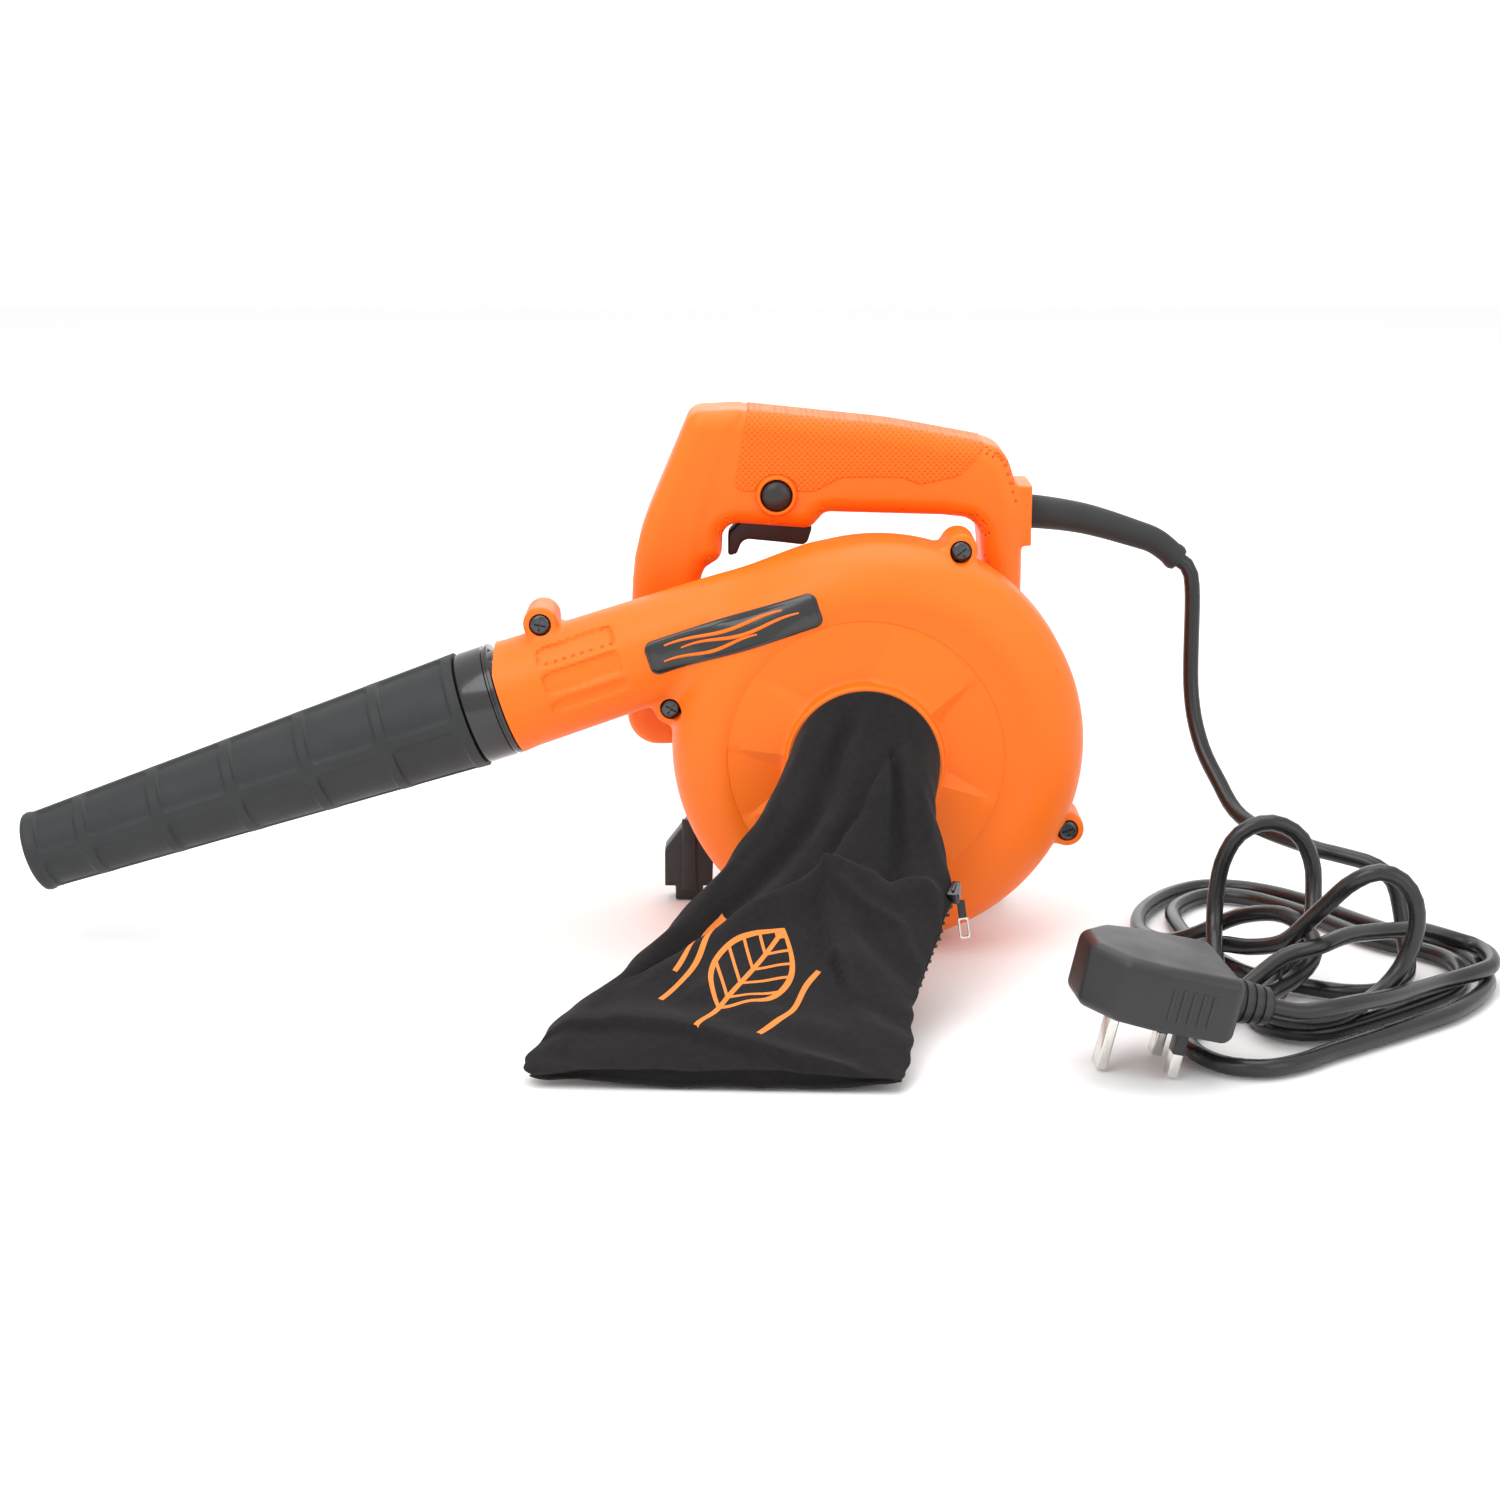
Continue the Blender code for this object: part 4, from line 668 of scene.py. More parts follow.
def eased(low, high, radius, pieces=4):
    """Levels of a prism from low to high with both edges rounded."""
    levels = []
    for k in range(pieces + 1):
        turn = math.radians(90 * k / pieces)
        levels.append((low + radius * (1 - math.sin(turn)), radius * (1 - math.cos(turn))))
    levels = levels[::-1]
    upper = [(high + low - y, inset) for y, inset in reversed(levels)]
    return levels + upper


def curve_at(a, b, c, d, t):
    """Between b and c on the smooth curve that passes through the four points."""
    return 0.5 * (2 * b + (c - a) * t + (2 * a - 5 * b + 4 * c - d) * t ** 2
                  + (3 * b - a - 3 * c + d) * t ** 3)


def smooth_path(route, spacing):
    """Points about one spacing apart on the smooth curve through a route."""
    nodes = [Vector(p) for p in route]
    nodes = [2 * nodes[0] - nodes[1]] + nodes + [2 * nodes[-1] - nodes[-2]]
    fine = []
    for a, b, c, d in zip(nodes, nodes[1:], nodes[2:], nodes[3:]):
        fine += [curve_at(a, b, c, d, k / 16) for k in range(16)]
    fine.append(nodes[-2])
    lengths = [0.0]
    for a, b in zip(fine, fine[1:]):
        lengths.append(lengths[-1] + (b - a).length)
    count = max(2, round(lengths[-1] / spacing))
    path, k = [], 0
    for i in range(count + 1):
        want = lengths[-1] * i / count
        while k < len(fine) - 2 and lengths[k + 1] < want:
            k += 1
        share = (want - lengths[k]) / (lengths[k + 1] - lengths[k])
        path.append(fine[k].lerp(fine[k + 1], share))
    return path


def sweep(path, radii, segments=24):
    """A closed tube of changing radius along a path."""
    bm = bmesh.new()
    rows = []
    side = (path[1] - path[0]).orthogonal().normalized()
    for k, (point, radius) in enumerate(zip(path, radii)):
        along = (path[min(k + 1, len(path) - 1)] - path[max(k - 1, 0)]).normalized()
        side = (side - along * side.dot(along)).normalized()
        across = along.cross(side)
        rows.append([bm.verts.new(point + radius * (side * math.cos(math.tau * i / segments)
                                                    + across * math.sin(math.tau * i / segments)))
                     for i in range(segments)])
    bridged(bm, rows)
    bm.faces.new(rows[0])
    bm.faces.new(rows[-1])
    return to_mesh(bm)


# ---------------------------------------------------------------- distance fields
def smooth_min(a, b, k):
    h = np.clip(0.5 + 0.5 * (b - a) / k, 0, 1)
    return b * (1 - h) + a * h - k * h * (1 - h)


def smooth_max(a, b, k):
    return -smooth_min(-a, -b, k)


def skin(field, axes, bites=()):
    """A mesh on the zero surface of a field, then cut by planes (point, outward normal)."""
    grid = np.stack(np.meshgrid(*axes, indexing="ij"), -1)
    value = field(grid)
    shape = value.shape
    cells = tuple(n - 1 for n in shape)
    total, count = np.zeros(cells + (3,)), np.zeros(cells)
    crossings = []
    for axis in range(3):
        near, far = [slice(None)] * 3, [slice(None)] * 3
        near[axis], far[axis] = slice(0, -1), slice(1, None)
        near, far = tuple(near), tuple(far)
        a, b = value[near], value[far]
        cross = (a < 0) != (b < 0)
        share = np.where(cross, a / np.where(cross, a - b, 1.0), 0.0)[..., None]
        spot = np.where(cross[..., None], grid[near] + share * (grid[far] - grid[near]), 0.0)
        crossings.append((cross, a < 0))
        one, two = [k for k in range(3) if k != axis]
        for i in (0, 1):
            for j in (0, 1):
                pick = [slice(None)] * 3
                pick[one], pick[two] = slice(i, shape[one] - 1 + i), slice(j, shape[two] - 1 + j)
                total += spot[tuple(pick)]
                count += cross[tuple(pick)]
    used = count > 0
    index = np.full(cells, -1)
    index[used] = np.arange(used.sum())
    points = total[used] / count[used][:, None]
    start, cell = points.copy(), min(float(np.diff(axis).min()) for axis in axes)
    for _ in range(4):
        here, slope = field(points), np.zeros_like(points)
        for axis in range(3):
            nudge = np.zeros(3)
            nudge[axis] = 0.0001
            slope[:, axis] = (field(points + nudge) - field(points - nudge)) / 0.0002
        size = np.maximum((slope ** 2).sum(1), 0.05)
        points -= np.clip(here / size, -cell, cell)[:, None] * slope
        points = start + np.clip(points - start, -cell, cell)
    quads = []
    for axis, (cross, inside) in enumerate(crossings):
        one, two = [k for k in range(3) if k != axis]
        spots = np.argwhere(cross)
        keep = ((spots[:, one] > 0) & (spots[:, one] < shape[one] - 1)
                & (spots[:, two] > 0) & (spots[:, two] < shape[two] - 1))
        spots = spots[keep]
        flip = inside[tuple(spots.T)] ^ (axis == 1)
        ring = []
        for i, j in ((-1, -1), (0, -1), (0, 0), (-1, 0)):
            cell_at = spots.copy()
            cell_at[:, one] += i
            cell_at[:, two] += j
            ring.append(index[tuple(cell_at.T)])
        ring = np.stack(ring, 1)
        ring[~flip] = ring[~flip][:, ::-1]
        quads.append(ring)
    mesh = bpy.data.meshes.new("skin")
    mesh.from_pydata(points.tolist(), [], np.concatenate(quads).tolist())
    if bites:
        bm = bmesh.new()
        bm.from_mesh(mesh)
        for point, normal in bites:
            cut = bmesh.ops.bisect_plane(bm, geom=bm.verts[:] + bm.edges[:] + bm.faces[:],
                                         dist=0.000005, plane_co=point, plane_no=normal,
                                         clear_outer=True)
            edges = [e for e in cut["geom_cut"] if isinstance(e, bmesh.types.BMEdge)]
            bmesh.ops.triangle_fill(bm, use_beauty=True, edges=edges)
        bmesh.ops.recalc_face_normals(bm, faces=bm.faces)
        bm.to_mesh(mesh)
        bm.free()
    mesh.update()
    return mesh


def spaced(low, high, step):
    return np.linspace(low, high, max(2, round((high - low) / step)) + 1)


def outline_distance(points, outline):
    """Signed distance from (x, z) of the points to a closed outline, negative inside."""
    x, z = points[..., 0], points[..., 2]
    best = np.full(x.shape, 1e9)
    inside = np.zeros(x.shape, bool)
    for (ax, az), (bx, bz) in zip(outline, outline[1:] + outline[:1]):
        ex, ez = bx - ax, bz - az
        t = np.clip(((x - ax) * ex + (z - az) * ez) / (ex * ex + ez * ez), 0, 1)
        best = np.minimum(best, (x - ax - t * ex) ** 2 + (z - az - t * ez) ** 2)
        if az != bz:
            inside ^= ((az > z) != (bz > z)) & (x < ex * (z - az) / ez + ax)
    return np.where(inside, -1, 1) * np.sqrt(best)


def slab(flat, height, radius):
    """Distance field of an outline's field given thickness, with edges rounded by radius."""
    u, v = np.maximum(flat + radius, 0), np.maximum(height + radius, 0)
    return np.sqrt(u * u + v * v) + np.minimum(np.maximum(flat, height) + radius, 0) - radius


# ---------------------------------------------------------------- fan casing
def slots_round(angles, middle, size):
    """Cutters for a ring of rounded slots about the Y axis."""
    return joined(*(block(middle, size, 0.0012, Matrix.Rotation(math.radians(angle), 4, "Y"), 2)
                    for angle in angles))


def ears(low, high, hole_low, hole_high):
    """The two screw ears at the sides of the motor barrel, each with its hole."""
    return [combined(rods(((x, 0),), EAR_R, low, high, 32),
                     ("DIFFERENCE", rods(((x, 0),), EAR_HOLE_R, hole_low, hole_high, 20)))
            for x in (-CAP_EAR_X, CAP_EAR_X)]


def casing_form(p):
    """The casing's outer form: the volute and the tube with its pockets, without the bosses."""
    x, y, z = p[..., 0], p[..., 1], p[..., 2]
    r = np.hypot(x - CASE_X, z - CASE_Z)
    crest = np.clip((0.064 - r) / 0.012, 0, 1)
    front = CASE_FRONT + 0.0014 * crest * crest * (3 - 2 * crest)
    u, v = np.maximum(r - 0.060, 0) / 0.0215, np.maximum(-0.008 - y, 0) / (-0.008 - front)
    shell = (np.sqrt(u * u + v * v) - 1) * 0.0213
    u, v = np.maximum(r - 0.063, 0) / 0.0185, np.maximum(y - 0.008, 0) / (CASE_BACK - 0.008)
    volute = np.maximum(shell, (np.sqrt(u * u + v * v) - 1) * 0.0187)
    dx, dz = x - tube_end.x, z - tube_end.z
    s = dx * along_tube.x + dz * along_tube.z
    t = dx * above_tube.x + dz * above_tube.z
    radius = np.interp(s, (0.0, 0.006, 0.090, 0.118, 0.145),
                       (TUBE_R, TUBE_R - 0.0006, TUBE_ROOT_R + 0.0004, 0.0194, 0.0176))
    over = np.maximum(s - 0.130, 0)
    pipe = np.sqrt(t * t + y * y + over * over) - radius
    for middle, half, deep in ((0.0135, 0.0032, 0.0016), (0.0035, 0.0042, 0.0016),
                               (-0.0058, 0.0022, 0.0013)):
        flat = np.hypot(np.maximum(np.abs(s - 0.0335) - 0.0145, 0),
                        np.maximum(np.abs(t - middle) - half + 0.0015, 0)) - 0.0015
        flat = flat + 0.30 * np.maximum(0.022 - s, 0)
        groove = np.maximum(flat, y + 0.004)
        pipe = np.where(y < 0.0, pipe + deep * np.clip(-groove / 0.0014 + 0.5, 0, 1), pipe)
    return smooth_min(volute, pipe, 0.007)


def draped(mesh, matrix):
    """The mesh laid on the casing's front: its local -Y is the height above the surface."""
    mesh.transform(matrix)
    count = len(mesh.vertices)
    points = np.empty(count * 3)
    mesh.vertices.foreach_get("co", points)
    points = points.reshape(-1, 3)
    height = points[:, 1].copy()
    near, far = np.full(count, -0.034), np.full(count, -0.004)
    for _ in range(26):
        middle = (near + far) / 2
        points[:, 1] = middle
        inside = casing_form(points) < 0
        far = np.where(inside, middle, far)
        near = np.where(inside, near, middle)
    points[:, 1] = (near + far) / 2 + height
    mesh.vertices.foreach_set("co", points.ravel())
    mesh.update()
    return mesh


def casing_field(p):
    form = casing_form(p)
    x, y, z = p[..., 0], p[..., 1], p[..., 2]
    outer = form
    for (bx, bz), (wx, wz) in zip(BOSSES, WEBS):
        height = np.maximum(BOSS_FRONT - y, y - BOSS_BACK)
        boss = slab(np.hypot(x - bx, z - bz) - BOSS_R, height, 0.0016)
        size = math.hypot(wx, wz)
        share = np.clip(((x - bx) * wx + (z - bz) * wz) / size / 0.011, 0, 1) * 0.011 / size
        web = slab(np.hypot(x - bx - share * wx, z - bz - share * wz) - 0.0052, height + 0.0004,
                   0.002)
        outer = smooth_min(outer, smooth_min(boss, web, 0.002), 0.0035)
    r = np.hypot(x, z)
    eye = np.maximum(r - 0.0532, y + 0.010)
    return np.maximum(np.maximum(outer, -(form + WALL)), -eye)


def casing_shell(side):
    """One half of the casing: the front for side -1, the rear for side 1."""
    fine = 0.00115 if side < 0 else 0.0015
    low, high = (-0.0305, SEAM_Y + 0.002) if side < 0 else (SEAM_Y - 0.002, 0.0290)
    axes = (spaced(-0.146, 0.095, fine), spaced(low, high, 0.0011), spaced(-0.084, 0.092, fine))
    split = SEAM_Y + side * GAP / 2
    bites = [(Vector((0, split, 0)), Vector((0, -side, 0))), (tube_end, -along_tube)]
    return skin(casing_field, axes, bites)


def dish():
    """The dished inlet face: raised spokes between sunk sectors, and the inlet collar."""
    spokes = ((-52, -18), (37, 77), (142, 175), (208, 252))
    # each ring's radius, its rise above the sectors, and its height where that is fixed
    rings = [(0.0535, 0, CASE_FRONT + 0.0040), (DISH_R, 0, CASE_FRONT + 0.0026), (DISH_R, 0, None)]
    rings += [(DISH_R - 0.0003 - (DISH_R - 0.0345) * k / 12, 0, None) for k in range(13)]
    rings += [(0.0330, 0, None), (0.0322, 0.0002, None), (0.0314, 0.0007, None),
              (INLET_R, 0.0017, None)]
    lip = ((INLET_R, 0.0012), (INLET_R - 0.0004, 0.0004), (INLET_R - 0.0010, 0),
           (INLET_EYE + 0.0010, 0), (INLET_EYE + 0.0003, 0.0003), (INLET_EYE, 0.0010))
    rings += [(r, 0, INLET_LIP_Y + y) for r, y in lip]
    rings.append((INLET_EYE, 0, -0.0245))
    bm = bmesh.new()
    rows = []
    for r, rise, fixed in rings:
        slope = np.clip((DISH_R - r) / (DISH_R - INLET_R), 0, 1)
        width = math.degrees(0.0058 * slope / r) + 0.25
        base = CASE_FRONT + 0.0008 - 0.0044 * slope
        sunk = 0.0036 * slope
        verts = []
        for i, (start, end) in enumerate(spokes):
            after = spokes[(i + 1) % len(spokes)][0] + (360 if i + 1 == len(spokes) else 0)
            stops = [(start + (end - start) * j / 8, 0) for j in range(9)]
            first, last = end + width, after - width
            stops += [(first + (last - first) * j / 12, 1) for j in range(13)]
            for angle, down in stops:
                y = base + sunk * down - rise if fixed is None else fixed
                turn = math.radians(angle)
                verts.append(bm.verts.new((r * math.cos(turn), y, r * math.sin(turn))))
        rows.append(verts)
    back = []
    for r, y in ((0.0300, -0.0240), (0.0520, -0.0240)):
        back.append([bm.verts.new((r * v.co.x / math.hypot(v.co.x, v.co.z), y,
                                   r * v.co.z / math.hypot(v.co.x, v.co.z))) for v in rows[0]])
    bridged(bm, rows + back, closed=True)
    return to_mesh(bm)


def casing():
    sinks = rods(BOSSES, 0.0044, -0.03, BOSS_FRONT + BOSS_SINK)
    holes = rods(BOSSES, 0.0022, -0.03, 0.0135, 24)
    shell = combined(casing_shell(-1), ("DIFFERENCE", sinks), ("DIFFERENCE", holes))
    piece("casing_front", joined(shell, dish()), "orange", nodes=["front_housing"], bend=28)
    hub = rods(((0, 0),), BARREL_R - 0.002, 0.02, 0.04, 96)
    rear = combined(casing_shell(1), ("DIFFERENCE", hub))
    inner = BARREL_R - WALL
    profile = [(inner, 0.0250), (BARREL_R + 0.0030, 0.0262), (BARREL_R + 0.0030, 0.0272)]
    lathe_arc(profile, (BARREL_R + 0.0030, 0.0302), 0.0030, 270, 180)
    profile += [(BARREL_R, 0.0986), (BARREL_R - 0.0004, BARREL_END - 0.0003),
                (BARREL_R - 0.0008, BARREL_END), (inner, BARREL_END)]
    barrel = turned(profile, 112)
    barrel.transform(TURN_Y)
    vents = slots_round((30, 55, 80, 105, 130, 155, 205, 230, 255, 280, 305, 330),
                        (0.0355, 0.0865, 0), (0.010, 0.012, 0.0035))
    barrel = combined(barrel, ("DIFFERENCE", vents))
    ear_tubes = ears(0.086, BARREL_END, 0.0895, 0.102)
    web = turned([(0.0070, 0.0258), (0.0145, 0.0258), (0.0145, 0.0365), (0.0113, 0.0365),
                  (0.0113, 0.0287), (0.0070, 0.0287)], 48)
    web.transform(TURN_Y)
    plate = turned([(0.0145, 0.0246), (BARREL_R - 0.0005, 0.0246), (BARREL_R - 0.0005, 0.0270),
                    (0.0145, 0.0270)], 96)
    plate.transform(TURN_Y)
    piece("casing_rear", joined(rear, barrel, *ear_tubes, web, plate), "orange",
          nodes=["rear_housing"], bend=30)


def end_cap():
    edge = BARREL_R - WALL
    profile = [(0, CAP_END), (0.0285, CAP_END)]
    lathe_arc(profile, (0.0290, CAP_END - 0.0075), 0.0075, 90, 0, 8)
    profile += [(BARREL_R, BARREL_END + GAP + 0.0004), (BARREL_R - 0.0004, BARREL_END + GAP),
                (edge, BARREL_END + GAP)]
    lathe_arc(profile, (0.0285, CAP_END - 0.0080), 0.0050, 0, 90, 6)
    profile += [(0.0125, CAP_END - WALL), (0.0125, 0.106), (0.0098, 0.106), (0.0098, 0.1145),
                (0, 0.1145)]
    cap = turned(profile, 112)
    cap.transform(TURN_Y)
    slots = slots_round([22.5 + 45 * k for k in range(8)], (0.0205, CAP_END, 0),
                        (0.011, 0.012, 0.0034))
    cap = combined(cap, ("DIFFERENCE", slots))
    ear_tubes = ears(BARREL_END + GAP, 0.110, 0.09, 0.12)
    piece("end_cap", joined(cap, *ear_tubes), "orange", nodes=["motor_end_cap"], bend=32)


# ---------------------------------------------------------------- screws
def screw(head_r, head_h, under, tip):
    """A pan head with a cross recess, facing -Z at the origin of its underside."""
    profile = [(0, -head_h), (head_r * 0.45, -head_h + 0.00005)]
    lathe_arc(profile, (head_r - head_h * 0.62, -head_h * 0.38), head_h * 0.62, -90, 0, 6)
    profile += [(head_r, 0), (under, 0), (under, tip - 0.0008), (under * 0.4, tip), (0, tip)]
    blades = [block((0, 0, -head_h), (head_r * 1.15, head_r * 0.22, head_h * 1.1)),
              block((0, 0, -head_h), (head_r * 0.22, head_r * 1.15, head_h * 1.1))]
    pit = turned([(0, -head_h - 0.001), (head_r * 0.24, -head_h - 0.001),
                  (head_r * 0.10, -head_h * 0.25), (0, -head_h * 0.25)], 16)
    return combined(turned(profile, 48), ("DIFFERENCE", blades[0]), ("DIFFERENCE", blades[1]),
                    ("DIFFERENCE", pit))


def screws():
    flip = Matrix.Rotation(math.pi, 4, "X")
    rows = (
        ("case_screw", "housing_screw", BOSSES, BOSS_FRONT + BOSS_SINK, (0.0041, 0.0027, 0.0195)),
        ("cap_screw", "end_cap_screw", ((-CAP_EAR_X, 0), (CAP_EAR_X, 0)), 0.1103,
         (0.0034, 0.0022, 0.0195)),
        ("grip_screw", "handle_screw", HANDLE_SCREWS, HANDLE_BACK - 0.0020,
         (0.0034, 0.0016, 0.0300)),
    )
    for name, node, spots, seat, (head_r, head_h, tip) in rows:
        for k, (x, z) in enumerate(spots):
            face = Matrix.Rotation(0.35 * k + 0.2, 4, "Z") if seat < 0 else flip
            place = Matrix.Translation((x, seat, z)) @ TURN_Y @ face
            piece(f"{name}_{k + 1}", screw(head_r, head_h, SCREW_R, tip), "dark_screw",
                  nodes=[f"{node}_{k + 1}"], matrix=place)


# ---------------------------------------------------------------- badge and stand
def badge():
    """The plate follows the casing's surface, with three lines of wind raised on it."""
    half, tall, round_by = 0.035, 0.00675, 0.0034
    along = [-0.0265 + 0.0053 * k for k in range(11)]
    corners = [(-half, -tall, round_by), *((x, -tall, 0) for x in along), (half, -tall, round_by),
               (half, tall, round_by), *((x, tall, 0) for x in reversed(along)),
               (-half, tall, round_by)]
    levels = [(0.0008, 0), (-0.0005, 0), (-0.0009, 0.0003), (-0.0010, 0.0007), (-0.0010, 0.0013),
              (-0.0013, 0.0015)]
    levels += [(-0.0013, 0.0021 + 0.0009 * k) for k in range(6)]
    plate = draped(prism([corners], levels), BADGE)
    piece("badge", plate, "black_gloss", nodes=["badge_plate"])
    strokes = []
    for level, start, end, lift in ((0.0031, -0.027, 0.021, 0.0009), (0.0002, -0.021, 0.027, 0.0010),
                                    (-0.0028, -0.029, 0.009, 0.0009)):
        path, radii = [], []
        for k in range(61):
            share = k / 60
            x = start + (end - start) * share
            path.append(Vector((x, -0.0012, level + lift * math.sin(7.5 * share + 1))))
            radii.append(0.00012 + 0.00058 * math.sin(math.pi * (0.06 + 0.88 * share)) ** 0.6)
        strokes.append(sweep(path, radii, 12))
    piece("badge_strokes", draped(joined(*strokes), BADGE), "orange")


def stand():
    foot = prism([list(FOOT_CORNERS)], eased(0.0462, 0.0580, 0.0006, 2), 10)
    rib = block((-0.0702, 0.0456, -0.0600), (0.0060, 0.0030, 0.0310), 0.0007)
    barrel = rods(((0, 0),), BARREL_R + GAP, 0.03, 0.07, 96)
    shape = combined(foot, ("DIFFERENCE", barrel))
    piece("stand", joined(shape, rib), "black_plastic", nodes=["stand_foot"])


# ---------------------------------------------------------------- handle
def plain(outline):
    return [(point.x, point.y) for point in outline]


def grip_outline(p):
    """Distance to the handle's side view, with the opening for the fingers left out."""
    grip, hole = plain(rounded(HANDLE_CORNERS, 6)), plain(rounded(OPENING_CORNERS, 8))
    return np.maximum(outline_distance(p, grip), -outline_distance(p, hole))


def grip_body(flat, height):
    return slab(flat + 0.0006, height + 0.0007, GRIP_ROUND)


def handle_field(face, out):
    tower, hole = plain(rounded(TOWER_CORNERS, 6)), plain(rounded(OPENING_CORNERS, 8))

    def field(p):
        x, y, z = p[..., 0], p[..., 1], p[..., 2]
        flat, height = grip_outline(p), (y - face) * out
        body = grip_body(flat, height)
        # the front column stands a little proud of the grip
        column = np.maximum(outline_distance(p, tower), -outline_distance(p, hole))
        band = slab(column, height, 0.0075)
        outer = smooth_min(body, band, 0.0012)
        flare = np.maximum(np.abs(z - GUARD_Z - 0.0003) - 0.01225, np.abs(x - 0.0658) - 0.0034)
        gland = slab(flare, height + 0.0045, 0.0012)
        outer = smooth_min(outer, gland, 0.0020)
        hollow = -(slab(flat, height, GRIP_ROUND) + WALL)
        solid = np.maximum(outer, hollow)
        saddle = np.hypot(x, z) - BARREL_R - GAP
        slot = np.maximum(np.abs(x + 0.03825) - 0.02025, np.abs(z - 0.07825) - 0.01225)
        slot = np.maximum(slot, np.abs(y - HANDLE_SPLIT) - 0.0080)
        opening = np.hypot(y - HANDLE_SPLIT, z - GUARD_Z) - 0.0075
        opening = np.maximum(opening, 0.050 - x)
        solid = np.maximum(np.maximum(solid, -saddle), np.maximum(-slot, -opening))
        for sx, sz in HANDLE_SCREWS:
            post = np.maximum(np.hypot(x - sx, z - sz) - 0.0040, height + 0.0030)
            solid = np.minimum(solid, post)
        if out > 0:
            for sx, sz in HANDLE_SCREWS:
                radius = np.hypot(x - sx, z - sz)
                sunk = np.maximum(radius - 0.0037, 0.0640 - y)
                solid = np.maximum(solid, -np.minimum(sunk, radius - 0.0020))
        return solid

    return field


def handle():
    for name, face, out in HANDLE_SIDES:
        split = HANDLE_SPLIT + out * GAP / 2
        ends = sorted((face + out * 0.0025, HANDLE_SPLIT - out * 0.002))
        axes = (spaced(-0.0985, 0.0720, 0.0012), spaced(*ends, 0.0011), spaced(-0.012, 0.132, 0.0012))
        shell = skin(handle_field(face, out), axes, [(Vector((0, split, 0)), Vector((0, -out, 0)))])
        if out < 0:
            hole = rods(((BUTTON_X, BUTTON_Z),), BUTTON_R + GAP, 0.02, 0.035)
            shell = combined(shell, ("DIFFERENCE", hole))
            profile = [(BUTTON_R + GAP, -0.0004)]
            lathe_arc(profile, (0.00725, -0.0009), 0.00075, 180, 360, 8)
            profile += [(0.0086, 0.0008), (BUTTON_R + GAP, 0.0012)]
            ring = turned(profile, 72)
            ring.transform(Matrix.Translation((BUTTON_X, HANDLE_FRONT, BUTTON_Z)) @ TURN_Y)
            shell = joined(shell, ring)
        piece(f"grip_shell_{name}", shell, "orange", nodes=[f"handle_{name}_shell"], bend=32)


def grip_inlays():
    """The dotted inlays: each follows the rounded face of the grip inside a thin groove."""
    outline = plain(rounded(PANEL_CORNERS, 8))
    for name, face, out in HANDLE_SIDES:
        def field(p, face=face, out=out):
            x, y, z = p[..., 0], p[..., 1], p[..., 2]
            body = grip_body(grip_outline(p), (y - face) * out)
            skin_here = np.maximum(body - 0.00045, -(body + 0.0006))
            edge = outline_distance(p, outline)
            solid = smooth_max(skin_here, edge, 0.0005)
            if out < 0:
                solid = np.maximum(solid, 0.0086 - np.hypot(x - BUTTON_X, z - BUTTON_Z))
            return solid

        ends = sorted((face + out * 0.0015, HANDLE_SPLIT - out * 0.0010))
        axes = (spaced(-0.0535, 0.0535, 0.00085), spaced(*ends, 0.0006), spaced(0.0945, 0.1310, 0.0007))
        split = Vector((0, HANDLE_SPLIT + out * GAP / 2, 0))
        inlay = skin(field, axes, [(split, Vector((0, -out, 0)))])
        piece(f"grip_inlay_{name}", inlay, "orange_grip",
              nodes=[f"grip_panel_{name}"], bend=40)


def trigger_and_button():
    px, pz = TRIGGER_PIVOT
    hole = [(px + 0.0018 * math.cos(math.tau * k / 20), pz + 0.0018 * math.sin(math.tau * k / 20), 0)
            for k in range(20)]
    levels = eased(0.0405, 0.0535, 0.0013, 4)
    shape = prism([list(TRIGGER_CORNERS), hole], [(y, 0.8 * inset) for y, inset in levels], 10)
    piece("trigger_lever", shape, "black_plastic", "trigger", ["trigger"])
    top = HANDLE_FRONT - 0.0030
    profile = [(0, top), (0.0018, top + 0.00008), (0.0033, top + 0.00036), (0.0045, top + 0.0009),
               (0.0054, top + 0.0016), (0.0060, top + 0.0025), (BUTTON_R, top + 0.0034),
               (BUTTON_R, 0.0302), (0.0076, 0.0302), (0.0076, 0.0315), (0.0040, 0.0315),
               (0.0040, 0.0336), (0, 0.0336)]
    place = Matrix.Translation((BUTTON_X, 0, BUTTON_Z)) @ TURN_Y
    piece("lock_button_cap", turned(profile, 64), "black_plastic", "lock_button", ["lock_button"],
          place)


# ---------------------------------------------------------------- nozzle and collar
def collar():
    length = COLLAR_LEN
    profile = [(0.0196, GAP), (TUBE_R - 0.0004, GAP), (TUBE_R, GAP + 0.0004), (TUBE_R, 0.0018),
               (TUBE_R - 0.0007, 0.0022), (TUBE_R - 0.0007, 0.0030), (TUBE_R - 0.0001, 0.0034),
               (TUBE_R - 0.0001, length - 0.0022), (TUBE_R - 0.0006, length - 0.0004),
               (TUBE_R - 0.0012, length), (SPIGOT_R, length), (SPIGOT_R, length + SPIGOT_LEN),
               (0.0175, length + SPIGOT_LEN), (0.0175, -0.010), (0.0196, -0.010)]
    piece("collar", turned(profile, 112), "black_gloss", nodes=["outlet_collar"], matrix=OUTLET)


